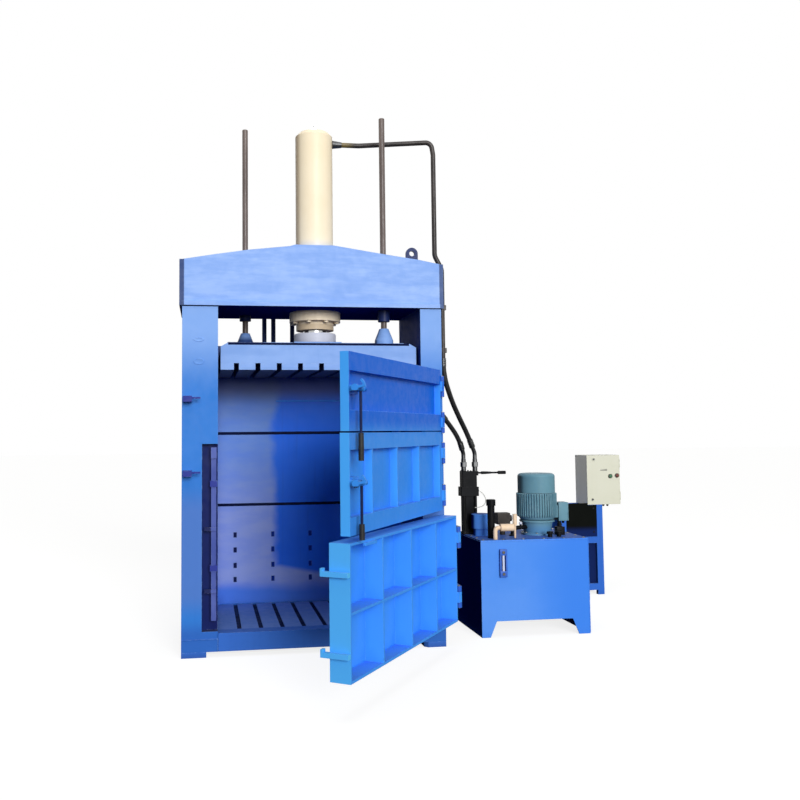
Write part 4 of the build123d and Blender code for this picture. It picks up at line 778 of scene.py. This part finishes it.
# Geometry Nodes for whatever repeats: bolts set on points, and weld beads run along lines
def nodeGroup(name, sockets):
    tree = bpy.data.node_groups.new(name, "GeometryNodeTree")
    tree.interface.new_socket("Geometry", in_out="INPUT", socket_type="NodeSocketGeometry")
    tree.interface.new_socket("Geometry", in_out="OUTPUT", socket_type="NodeSocketGeometry")
    for label, kind, value in sockets:
        made = tree.interface.new_socket(label, in_out="INPUT", socket_type="NodeSocket" + kind)
        if value is not None:
            made.default_value = value
    return tree, addNode(tree, "NodeGroupInput")


def closeGroup(tree, geometry, finish):
    solid = addNode(tree, "GeometryNodeRealizeInstances", {0: geometry})[0]
    painted = addNode(tree, "GeometryNodeSetMaterial", {"Geometry": solid, "Material": finish})
    addNode(tree, "NodeGroupOutput", {0: painted[0]})
    return tree


def lifted(tree, geometry, height, share):
    part = addNode(tree, "ShaderNodeMath", {"operation": "MULTIPLY", 0: height, 1: share})[0]
    lift = addNode(tree, "ShaderNodeCombineXYZ", {"Z": part})[0]
    return addNode(tree, "GeometryNodeTransform", {"Geometry": geometry, "Translation": lift})[0]


def boltGroup():
    tree, given = nodeGroup("boltOnPoint", [
        ("Head Radius", "Float", 0.008), ("Head Height", "Float", 0.006), ("Washer Radius", "Float", 0.011),
        ("Head Sides", "Int", 6), ("Seed", "Int", 1), ("Finish", "Material", None)])
    washer = addNode(tree, "GeometryNodeMeshCylinder", {"Vertices": 24, "Depth": 0.0016,
                                                        "Radius": given["Washer Radius"]})["Mesh"]
    head = addNode(tree, "GeometryNodeMeshCylinder", {
        "Vertices": given["Head Sides"], "Depth": given["Head Height"], "Radius": given["Head Radius"]})
    narrow = addNode(tree, "ShaderNodeMath", {"operation": "MULTIPLY", 0: given["Head Radius"], 1: 0.8})
    crown = addNode(tree, "GeometryNodeMeshCylinder", {"Vertices": 24, "Depth": 0.001,
                                                       "Radius": narrow[0]})
    bolt = addNode(tree, "GeometryNodeJoinGeometry")[0]
    for part in (washer, lifted(tree, head["Mesh"], given["Head Height"], 0.5),
                 lifted(tree, crown["Mesh"], given["Head Height"], 1)):
        tree.links.new(part, bolt.node.inputs[0])
    aim = addNode(tree, "GeometryNodeInputNamedAttribute", {"data_type": "FLOAT_VECTOR", "Name": "aim"})
    turn = addNode(tree, "FunctionNodeAlignRotationToVector", {"axis": "Z", "Vector": aim[0]})
    twist = addNode(tree, "FunctionNodeRandomValue", {"data_type": "FLOAT", 2: 0.0, 3: 6.283,
                                                      "Seed": given["Seed"]})
    spin = addNode(tree, "FunctionNodeAxisAngleToRotation", {"Axis": (0, 0, 1), "Angle": twist[1]})
    both = addNode(tree, "FunctionNodeRotateRotation", {"rotation_space": "LOCAL", 0: turn[0],
                                                        1: spin[0]})
    placed = addNode(tree, "GeometryNodeInstanceOnPoints", {
        "Points": given["Geometry"], "Rotation": both[0], "Instance": bolt})
    return closeGroup(tree, placed[0], given["Finish"])


def weldGroup():
    tree, given = nodeGroup("weldAlongLine", [
        ("Bead Radius", "Float", 0.004), ("Ripple", "Float", 0.01), ("Unevenness", "Float", 0.5),
        ("Seed", "Int", 3), ("Finish", "Material", None)])
    path = addNode(tree, "GeometryNodeMeshToCurve", {0: given["Geometry"]})[0]
    even = addNode(tree, "GeometryNodeResampleCurve", {
        "mode": "LENGTH", "Curve": path, "Length": given["Ripple"]})
    swell = addNode(tree, "FunctionNodeRandomValue", {"data_type": "FLOAT", 2: -0.5, 3: 0.5,
                                                      "Seed": given["Seed"]})
    size = addNode(tree, "ShaderNodeMath", {"operation": "MULTIPLY_ADD", 0: swell[1],
                                            1: given["Unevenness"], 2: 1.0})
    circle = addNode(tree, "GeometryNodeCurvePrimitiveCircle", {
        "Resolution": 7, "Radius": given["Bead Radius"]})
    bead = addNode(tree, "GeometryNodeCurveToMesh", {
        "Fill Caps": True, "Curve": even[0], "Scale": size[0], "Profile Curve": circle[0]})
    soft = addNode(tree, "GeometryNodeSetShadeSmooth", {0: bead[0]})
    return closeGroup(tree, soft[0], given["Finish"])


groups = {"bolt": boltGroup(), "weld": weldGroup()}


def grow(name, groupName, points, edges, values, finish, body, slotName, aims=None):
    data = bpy.data.meshes.new(name)
    data.from_pydata([tuple(p) for p in points], edges, [])
    if aims:
        attribute = data.attributes.new("aim", "FLOAT_VECTOR", "POINT")
        for entry, aim in zip(attribute.data, aims):
            entry.vector = aim
    piece = bpy.data.objects.new(name, data)
    collection.objects.link(piece)
    modifier = piece.modifiers.new("grow", "NODES")
    modifier.node_group = groups[groupName]
    sockets = groups[groupName].interface.items_tree
    inputs = {item.name: item.identifier for item in sockets if item.in_out == "INPUT"}
    for label, value in {**values, "Finish": finishes[finish]}.items():
        modifier[inputs[label]] = value
    shape = bpy.data.meshes.new_from_object(piece.evaluated_get(bpy.context.evaluated_depsgraph_get()))
    piece.modifiers.clear()
    piece.data = shape
    shape.name = name
    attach(piece, body)


# Leaves stand open at rest: u runs to the free end, v outward, z up
leaves = {
    "upper": {"hinge": (0.880, -0.588), "angle": math.radians(57.5)},
    "lower": {"hinge": (0.958, -0.655), "angle": math.radians(54.4)},
}


def leafPoint(leaf, u, v, z):
    (x, y), a = leaves[leaf]["hinge"], leaves[leaf]["angle"]
    return Vector((x - u * math.cos(a) + v * math.sin(a), y - u * math.sin(a) - v * math.cos(a), z))


def lines(pairs):
    points = [p for pair in pairs for p in pair]
    return points, [(2 * k, 2 * k + 1) for k in range(len(pairs))]


# Weld beads on the leaves, in metres: round each panel along u and z, and down both sides of each post
leafBead = {"Bead Radius": 0.0045, "Ripple": 0.011, "Seed": 5}
lowerPosts = (0.4245, 0.4105, 0.842, 0.828, 1.2595, 1.2455)
leafWelds = {
    "top": {"leaf": "upper", "body": "top_door", "skin": -0.0415, "u": (0.036, 1.637), "z": (1.594, 1.804),
            "posts": ()},
    "middle": {"leaf": "upper", "body": "middle_door", "skin": -0.0455, "u": (0.074, 1.637),
               "z": (1.036, 1.386), "posts": (0.514, 0.502, 0.924, 0.912, 1.328, 1.316)},
    "lower": {"leaf": "lower", "body": "lower_door", "skin": -0.1115, "u": (0.041, 1.656),
              "z": (0.2145, 0.543), "posts": lowerPosts},
    "lowerUpper": {"leaf": "lower", "body": "lower_door", "skin": -0.1115, "u": (0.041, 1.656),
                   "z": (0.557, 0.894), "posts": lowerPosts},
}
for name, run in leafWelds.items():
    leaf, v, (near, far), (low, high) = run["leaf"], run["skin"], run["u"], run["z"]
    pairs = [(leafPoint(leaf, near, v, z), leafPoint(leaf, far, v, z)) for z in (low, high)]
    pairs += [(leafPoint(leaf, u, v, low), leafPoint(leaf, u, v, high)) for u in (near, far, *run["posts"])]
    grow(name + "LeafWelds", "weld", *lines(pairs), leafBead, "weldEnamel", run["body"], "door_blue")

# Weld beads along the plates of the frame and the tank, and the ledge on the back wall
frameWelds = {
    "pressWelds": {
        "bead": {"Bead Radius": 0.0045, "Ripple": 0.012, "Seed": 9}, "finish": "columnEnamel",
        "slot": "upper_blue",
        "runs": [((-0.899, -0.5305, 0.118), (-0.661, -0.5305, 0.118)),
                 ((0.749, -0.5305, 0.118), (0.899, -0.5305, 0.118)),
                 ((-0.88, -0.531, 2.374), (0.88, -0.531, 2.374)),
                 ((-0.66, -0.5305, 0.157), (-0.66, -0.5305, 0.04)),
                 ((0.748, -0.5305, 0.157), (0.748, -0.5305, 0.04)),
                 ((-0.658, 0.140, 0.16), (-0.658, 0.140, 2.16)),
                 ((0.746, 0.140, 0.16), (0.746, 0.140, 2.16)),
                 ((-0.66, 0.4415, 0.157), (0.748, 0.4415, 0.157)),
                 ((-0.6585, 0.4415, 0.16), (-0.6585, 0.4415, 2.16)),
                 ((0.7465, 0.4415, 0.16), (0.7465, 0.4415, 2.16)),
                 ((-0.9, 0.141, 2.344), (-0.66, 0.141, 2.344)),
                 ((0.748, 0.141, 2.344), (0.9, 0.141, 2.344))]},
    "tankWelds": {
        "bead": {"Bead Radius": 0.0028, "Ripple": 0.009, "Seed": 4}, "finish": "tankEnamel",
        "slot": "tank_blue",
        "runs": [((1.2205, -0.3395, 0.681), (1.2205, 0.2895, 0.681)),
                 ((1.2205, -0.3395, 0.681), (2.0395, -0.3395, 0.681)),
                 ((2.0395, -0.3395, 0.681), (2.0395, 0.2895, 0.681)),
                 ((1.2205, 0.2895, 0.681), (2.0395, 0.2895, 0.681)),
                 ((1.221, -0.3395, 0.01), (1.221, -0.3395, 0.675)),
                 ((2.0395, -0.3395, 0.01), (2.0395, -0.3395, 0.675))]},
    "wallLedge": {
        "bead": {"Bead Radius": 0.006, "Ripple": 0.03, "Seed": 2}, "finish": "weldEnamel",
        "slot": "inner_blue",
        "runs": [((-0.19, 0.4425, 1.73), (0.746, 0.4425, 1.73))]},
}
for name, row in frameWelds.items():
    grow(name, "weld", *lines(row["runs"]), row["bead"], row["finish"], "press", row["slot"])

# Screws: "spots" are where the washers sit, "aim" is where the heads look, "head" is radius, height, sides
bellRing = {"centre": (1.770, -0.030), "radius": 0.110, "height": 0.7055, "count": 8}
ringTurns = [2 * math.pi * (k + 0.5) / bellRing["count"] for k in range(bellRing["count"])]
screws = {
    "lidScrews": {
        "spots": [(x, y, 0.6905) for x in (1.245, 1.399, 1.553, 1.707, 1.861, 2.015) for y in (-0.315, 0.265)]
        + [(x, y, 0.6905) for x in (1.245, 2.015) for y in (-0.17, -0.025, 0.12)],
        "aim": up, "head": (0.0075, 0.005, 6), "washer": 0.011, "finish": "platedSteel",
        "slot": "bright_steel"},
    "bellScrews": {
        "spots": [(bellRing["centre"][0] + bellRing["radius"] * math.cos(a),
                   bellRing["centre"][1] + bellRing["radius"] * math.sin(a), bellRing["height"])
                  for a in ringTurns],
        "aim": up, "head": (0.0065, 0.006, 6), "washer": 0.0095, "finish": "platedSteel",
        "slot": "bright_steel"},
    "valveScrews": {
        "spots": [(x, y, 1.1705) for x in (1.2275, 1.2825) for y in (0.070, 0.140)],
        "aim": up, "head": (0.006, 0.006, 16), "washer": 0.0062, "finish": "blackEnamel",
        "slot": "black_paint"},
    "terminalScrews": {
        "spots": [(2.0055, y, z) for y in (-0.070, 0.010) for z in (0.800, 0.920)],
        "aim": right, "head": (0.0045, 0.003, 16), "washer": 0.0055, "finish": "platedSteel",
        "slot": "bright_steel"},
    "panelScrews": {
        "spots": [(x, 1.0655, z) for x in (2.50, 2.74) for z in (0.56, 0.77)],
        "aim": front, "head": (0.006, 0.003, 6), "washer": 0.0085, "finish": "blackEnamel",
        "slot": "black_paint"},
}
for name, row in screws.items():
    radius, height, sides = row["head"]
    grow(name, "bolt", row["spots"], [], {"Head Radius": radius, "Head Height": height, "Head Sides": sides,
                                          "Washer Radius": row["washer"], "Seed": 7},
         row["finish"], "press", row["slot"], [row["aim"]] * len(row["spots"]))
print("welds and bolts grown")

# Painted shade: dark strips for the shadowed gaps between the plates, across the back wall and over the
# columns
makePiece("plateGapShade", "gapShadePaint", "press", {"blocks": [
    ((-0.6595, 0.4405, 0.910), (0.7475, 0.4425, 0.931), 0.0004),
    ((-0.6595, 0.4405, 1.466), (0.7475, 0.4425, 1.488), 0.0004),
    ((-0.8995, -0.5312, 2.338), (-0.6605, -0.5302, 2.3446), 0.0004),
    ((0.7485, -0.5312, 2.339), (0.8995, -0.5302, 2.3446), 0.0004)]})

# Painted shade: dark backs in the tie pockets of the back wall
pockets = {
    "x": (-0.512, -0.218, 0.076, 0.370, 0.664),
    "z": (0.344, 0.452, 0.571, 0.687),
    "half": (0.0122, 0.0197),
    "y": (0.4445, 0.4475),
}
(halfX, halfZ), (nearY, farY) = pockets["half"], pockets["y"]
makePiece("pocketBackShade", "pocketShadePaint", "press", {"blocks": [
    ((x - halfX, nearY, z - halfZ), (x + halfX, farY, z + halfZ), 0)
    for x in pockets["x"] for z in pockets["z"]]})

# Painted shade: a dark fill down in the floor slots
slots = {
    "first": -0.512,
    "pitch": 0.147,
    "count": 9,
    "half": 0.0152,
    "y": (-0.4198, 0.4425),
    "z": (0.1370, 0.1475),
}
halfX, (nearY, farY), (lowZ, highZ) = slots["half"], slots["y"], slots["z"]
places = [slots["first"] + slots["pitch"] * k for k in range(slots["count"])]
makePiece("slotShade", "gapShadePaint", "press", {"blocks": [
    ((x - halfX, nearY, lowZ), (x + halfX, farY, highZ), 0) for x in places]})

# The platen's top edge lies in the crosshead's shade
makePiece("platenEdge", "gapShadePaint", "platen", {"blocks": [
    ((-0.5905, -0.4708, 2.0845), (0.6795, -0.4698, 2.0998), 0.0003)]})

# Two pressed blanking discs on the left column
blanks = {
    "place": (-0.789, -0.5295),
    "discs": ((2.112, 0.4), (1.963, 0.62)),     # height, and how tall the disc is against its width
    "profile": [(0, 0.038), (0.0022, 0.035), (0.003, 0.030), (0.0018, 0.026)],
}
bm = bmesh.new()
for z, tall in blanks["discs"]:
    squash = Matrix.Translation((*blanks["place"], z)) @ Matrix.Diagonal((1, 1, tall, 1))
    turned(bm, (0, 0, 0), front, blanks["profile"], 40, squash=squash)
addPiece("columnBlanks", bm, "columnEnamel", "press")

# Motor frame: rounded end shield, many shallow cooling fins, and a terminal box on its neck
motor = {
    "axis": (1.770, -0.030),
    "fins": 48,
    "root": 0.1375,              # radius where the fins start inside the shell
    "tip": 0.1518,
    "half": 0.0021,              # half a fin's thickness, more at the root and less at the tip
    "taper": (1.25, 0.8),
    "z": (0.826, 1.0035),
    "shell": [(0.800, 0.022), (0.800, 0.112), (0.806, 0.124), (0.818, 0.133), (0.834, 0.139), (0.850, 0.142),
              (1.002, 0.142), (1.008, 0.134), (1.008, 0.022), (0.998, 0.022), (0.998, 0.118), (0.812, 0.105),
              (0.812, 0.022)],
    "terminals": [((1.895, -0.070, 0.815), (1.928, -0.020, 0.910), 0.004),       # neck, box and lid
                  ((1.926, -0.080, 0.790), (1.998, 0.020, 0.930), 0.004),
                  ((1.9975, -0.080, 0.790), (2.005, 0.020, 0.930), 0.0025)],
}


def coolingFin(bm, place):
    root, tip, (low, high) = motor["root"], motor["tip"], motor["z"]
    outline = [(root, low), (tip - 0.006, low), (tip, low + 0.012), (tip, high - 0.002), (tip - 0.002, high),
               (root, high)]
    fin = bmesh.new()
    cheeks = [[fin.verts.new((r, side * motor["half"] * motor["taper"][r > root], z)) for r, z in outline]
              for side in (-1, 1)]
    fin.faces.new(cheeks[0])
    fin.faces.new(cheeks[1][::-1])
    for n in range(len(outline)):
        m = (n + 1) % len(outline)
        fin.faces.new((cheeks[0][n], cheeks[1][n], cheeks[1][m], cheeks[0][m]))
    joinShape(bm, fin, place)


bm = bmesh.new()
turned(bm, (*motor["axis"], 0), up, motor["shell"], 72, hollow=True)
for k in range(motor["fins"]):
    turn = Matrix.Rotation(2 * math.pi * (k + 0.5) / motor["fins"], 4, "Z")
    coolingFin(bm, Matrix.Translation((*motor["axis"], 0)) @ turn)
for low, high, bevel in motor["terminals"]:
    block(bm, low, high, bevel)
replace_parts(addPiece("motorFrame", bm, "motorEnamel", "press"), "motor_body")

# Sight gauge of the tank: a back plate, cast ends, side rails, a clear tube and two banjo bolts
gauge = {
    "x": (1.356, 1.412),
    "y": (-0.364, -0.342),
    "z": (0.426, 0.627),
    "end": 0.046,                # height of a cast end
    "rail": 0.012,
    "tube": [(0, 0.0085), (0.113, 0.0085)],
    "bolt": [(0, 0.011), (0.0012, 0.012), (0.003, 0.012), (0.0042, 0.0105), (0.0042, 0.005),
             (0.0022, 0.0045)],
}
(x0, x1), (y0, y1), (z0, z1), end, rail = (gauge[key] for key in ("x", "y", "z", "end", "rail"))
middleX, middleY = (x0 + x1) / 2, y0 + 0.013
gaugeFrame = makePiece("gaugeFrame", "gaugePaint", "press", {"blocks": [
    ((x0 + 0.002, y1 - 0.003, z0 + 0.004), (x1 - 0.002, y1 + 0.0018, z1 - 0.004), 0.002),
    *(((x0, y0 + 0.004, low), (x1, y1, low + end), 0.006) for low in (z0, z1 - end)),
    *(((x, y0 + 0.006, z0 + 0.02), (x + rail, y1, z1 - 0.02), 0.003) for x in (x0, x1 - rail))]})
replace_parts(gaugeFrame, "level_gauge")
makePiece("gaugeTube", "gaugeWindow", "press", {"turned": [
    ((middleX, middleY, z0 + end - 0.002), up, gauge["tube"], 28)]})
makePiece("gaugeBolts", "ferruleSteel", "press", {"turned": [
    ((middleX, y0 + 0.0045, z), front, gauge["bolt"], 6) for z in (z0 + end / 2, z1 - end / 2)]}, 20)

# Control box: button bezels and a bare plate on the door, rubber glands under the box
bezel = [(0, 0.0146), (0, 0.0205), (0.0016, 0.0200), (0.003, 0.0180), (0.003, 0.0152)]
boxGland = [(0, 0.013), (0.004, 0.014), (0.012, 0.014), (0.013, 0.0105), (0.024, 0.0095), (0.027, 0.007)]
makePiece("buttonBezels", "buttonBezel", "box_door", {"hollow": True, "turned": [
    ((x, 1.0642, z), front, bezel, 40) for x, z in ((2.912, 1.061), (2.977, 1.066))]})
makePiece("barePlate", "plateGrey", "box_door", {"blocks": [
    ((2.820, 1.0686, 1.110), (2.884, 1.0702, 1.126), 0.0006)]})
makePiece("boxGlands", "hoseRubber", "press", {"turned": [
    ((x, 1.20, 0.8055), down, boxGland, 24) for x in (2.86, 2.90, 2.94)]})

# Rigid tubes bent along a smooth curve: the thin drain loop of the valve stand and the black suction elbow
tubes = {
    "drainLoop": {"radius": 0.0032, "finish": "loopTube", "slot": "bright_steel", "points": [
        (1.315, 0.082, 1.030), (1.345, 0.075, 1.026), (1.382, 0.070, 1.000), (1.402, 0.068, 0.955),
        (1.396, 0.070, 0.915), (1.366, 0.076, 0.893), (1.315, 0.084, 0.890)]},
    "suctionElbow": {"radius": 0.0155, "finish": "blackEnamel", "slot": "black_paint", "points": [
        (1.548, -0.100, 0.6895), (1.548, -0.100, 0.728), (1.560, -0.099, 0.748), (1.600, -0.092, 0.750),
        (1.640, -0.078, 0.750), (1.672, -0.066, 0.750)]},
}
for name, row in tubes.items():
    bend = bentRod(name + "Path", row["points"], row["radius"], 4, 8, 4)
    shape = bpy.data.meshes.new_from_object(bend.evaluated_get(bpy.context.evaluated_depsgraph_get()))
    bpy.data.objects.remove(bend)
    bm = bmesh.new()
    bm.from_mesh(shape)
    addPiece(name, bm, row["finish"], "press")

# Small black fittings on the tank lid and under the terminal box, and a white knob on the vent
flange = [(0, 0.026), (0.009, 0.026), (0.011, 0.024)]
stem = [(0, 0.0085), (0.022, 0.0085)]
fillerCap = [(0, 0.017), (0.028, 0.017), (0.032, 0.014), (0.034, 0.006)]
fillerPlug = [(0, 0.013), (0.009, 0.013), (0.011, 0.011)]
cableGland = [(0, 0.0125), (0.008, 0.0125), (0.009, 0.010), (0.018, 0.0095), (0.022, 0.007)]
knob = [(0, 0.007), (0.003, 0.0115), (0.008, 0.013), (0.014, 0.012), (0.019, 0.008), (0.021, 0)]
makePiece("lidFittings", "blackEnamel", "press", {
    "blocks": [((1.886, -0.140, 0.6895), (1.948, -0.084, 0.752), 0.003)],
    "turned": [((1.548, -0.100, 0.6895), up, flange, 32), ((1.617, -0.088, 0.752), up, stem, 20),
               ((1.917, -0.112, 0.750), up, fillerCap, 28), ((1.917, -0.139, 0.718), front, fillerPlug, 6),
               *(((x, -0.030, 0.7905), down, cableGland, 20) for x in (1.946, 1.981))]})
makePiece("ventKnob", "flangeEnamel", "press", {"turned": [
    ((1.617, -0.088, 0.772), up, knob, 28)]})

# Forged sleeve of the valve lever
sleeve = [(0, 0.0068), (0, 0.0085), (0.008, 0.0115), (0.036, 0.0108), (0.078, 0.0085), (0.086, 0.0072),
          (0.086, 0.0068)]
makePiece("leverSleeve", "blackEnamel", "valve_handle", {"hollow": True, "turned": [
    ((1.374, 0.105, 1.156), right, sleeve, 28)]})

# Ribs moulded round the lever grips
ribs = {
    "pieces": {"topGripRibs": ("top_lever", 1.341), "middleGripRibs": ("middle_lever", 0.930)},
    "place": (1.589, 0.042),
    "count": 7,
    "pitch": 0.0095,
    "profile": [(0, 0.0142), (0.0012, 0.0158), (0.0036, 0.0158), (0.0048, 0.0142)],
}
for name, (body, low) in ribs["pieces"].items():
    makePiece(name, "gripRubber", body, {"hollow": True, "turned": [
        (leafPoint("upper", *ribs["place"], low + k * ribs["pitch"]), up, ribs["profile"], 24)
        for k in range(ribs["count"])]})
print("small parts made")


# Light: low soft daylight from behind the viewer, a little to the right, a weak panel above, and a white room
lightSet = {
    "day": {"place": (0, -6, 6), "from": (0.14, -0.97, 0.24), "strength": 2.75, "spread": 0.5},
    "top": {"place": (-0.5, -2.6, 8.5), "aim": (0.2, -0.3, 2.2), "size": 4.5, "power": 120},
    "room": 0.26,
}
white = (1, 1, 1, 1)


def linkLight(name, data, place, direction):
    light = bpy.data.objects.new(name, data)
    turn = direction.to_track_quat("-Z", "Y").to_matrix().to_4x4()
    light.matrix_world = Matrix.Translation(place) @ turn
    collection.objects.link(light)


day, top = lightSet["day"], lightSet["top"]
daylight = bpy.data.lights.new("daylight", "SUN")
daylight.energy = day["strength"]
daylight.angle = day["spread"]
linkLight("daylight", daylight, day["place"], -Vector(day["from"]))
panel = bpy.data.lights.new("topPanel", "AREA")
panel.shape = "SQUARE"
panel.size = top["size"]
panel.energy = top["power"]
linkLight("topPanel", panel, top["place"], Vector(top["aim"]) - Vector(top["place"]))

# The room is white where it is seen, and dim where it only lights
world = bpy.data.worlds.new("room")
bpy.context.scene.world = world
world.use_nodes = True
tree = world.node_tree
tree.nodes.clear()
path = addNode(tree, "ShaderNodeLightPath")
seen = path["Is Camera Ray"]
for kind in ("Is Transmission Ray", "Is Glossy Ray"):
    seen = addNode(tree, "ShaderNodeMath", {"operation": "MAXIMUM", 0: seen, 1: path[kind]})[0]
dim = addNode(tree, "ShaderNodeBackground", {"Color": white, "Strength": lightSet["room"]})
bright = addNode(tree, "ShaderNodeBackground", {"Color": white, "Strength": 1})
both = addNode(tree, "ShaderNodeMixShader", {0: seen, 1: dim[0], 2: bright[0]})
addNode(tree, "ShaderNodeOutputWorld", {"Surface": both[0]})

# Pale floor: glows a little toward the viewer, and throws a grey light back on the machine
floorLook = {
    "colour": "E8E8E6",
    "share": 0.45,       # how much of its colour it throws back to the viewer
    "glow": 0.82,
    "bounce": "6E6E6C",
    "size": 60,
    "height": -0.0005,
}
floorMaterial, tree = startMaterial("paleFloor")
path = addNode(tree, "ShaderNodeLightPath")
grey = [c * floorLook["share"] for c in linearColour(floorLook["colour"])[:3]] + [1]
matt = addNode(tree, "ShaderNodeBsdfDiffuse", {"Color": grey})
glow = addNode(tree, "ShaderNodeEmission", {"Color": white, "Strength": floorLook["glow"]})
lit = addNode(tree, "ShaderNodeAddShader", {0: matt[0], 1: glow[0]})
bounce = addNode(tree, "ShaderNodeBsdfDiffuse", {"Color": linearColour(floorLook["bounce"])})
pick = addNode(tree, "ShaderNodeMixShader", {0: path["Is Camera Ray"], 1: bounce[0], 2: lit[0]})
addNode(tree, "ShaderNodeOutputMaterial", {"Surface": pick[0]})
bm = bmesh.new()
bmesh.ops.create_grid(bm, x_segments=2, y_segments=2, size=floorLook["size"],
                      matrix=Matrix.Translation((0, 0, floorLook["height"])))
data = bpy.data.meshes.new("studioFloor")
bm.to_mesh(data)
bm.free()
data.materials.append(floorMaterial)
studioFloor = bpy.data.objects.new("studioFloor", data)
collection.objects.link(studioFloor)
print("stage set")
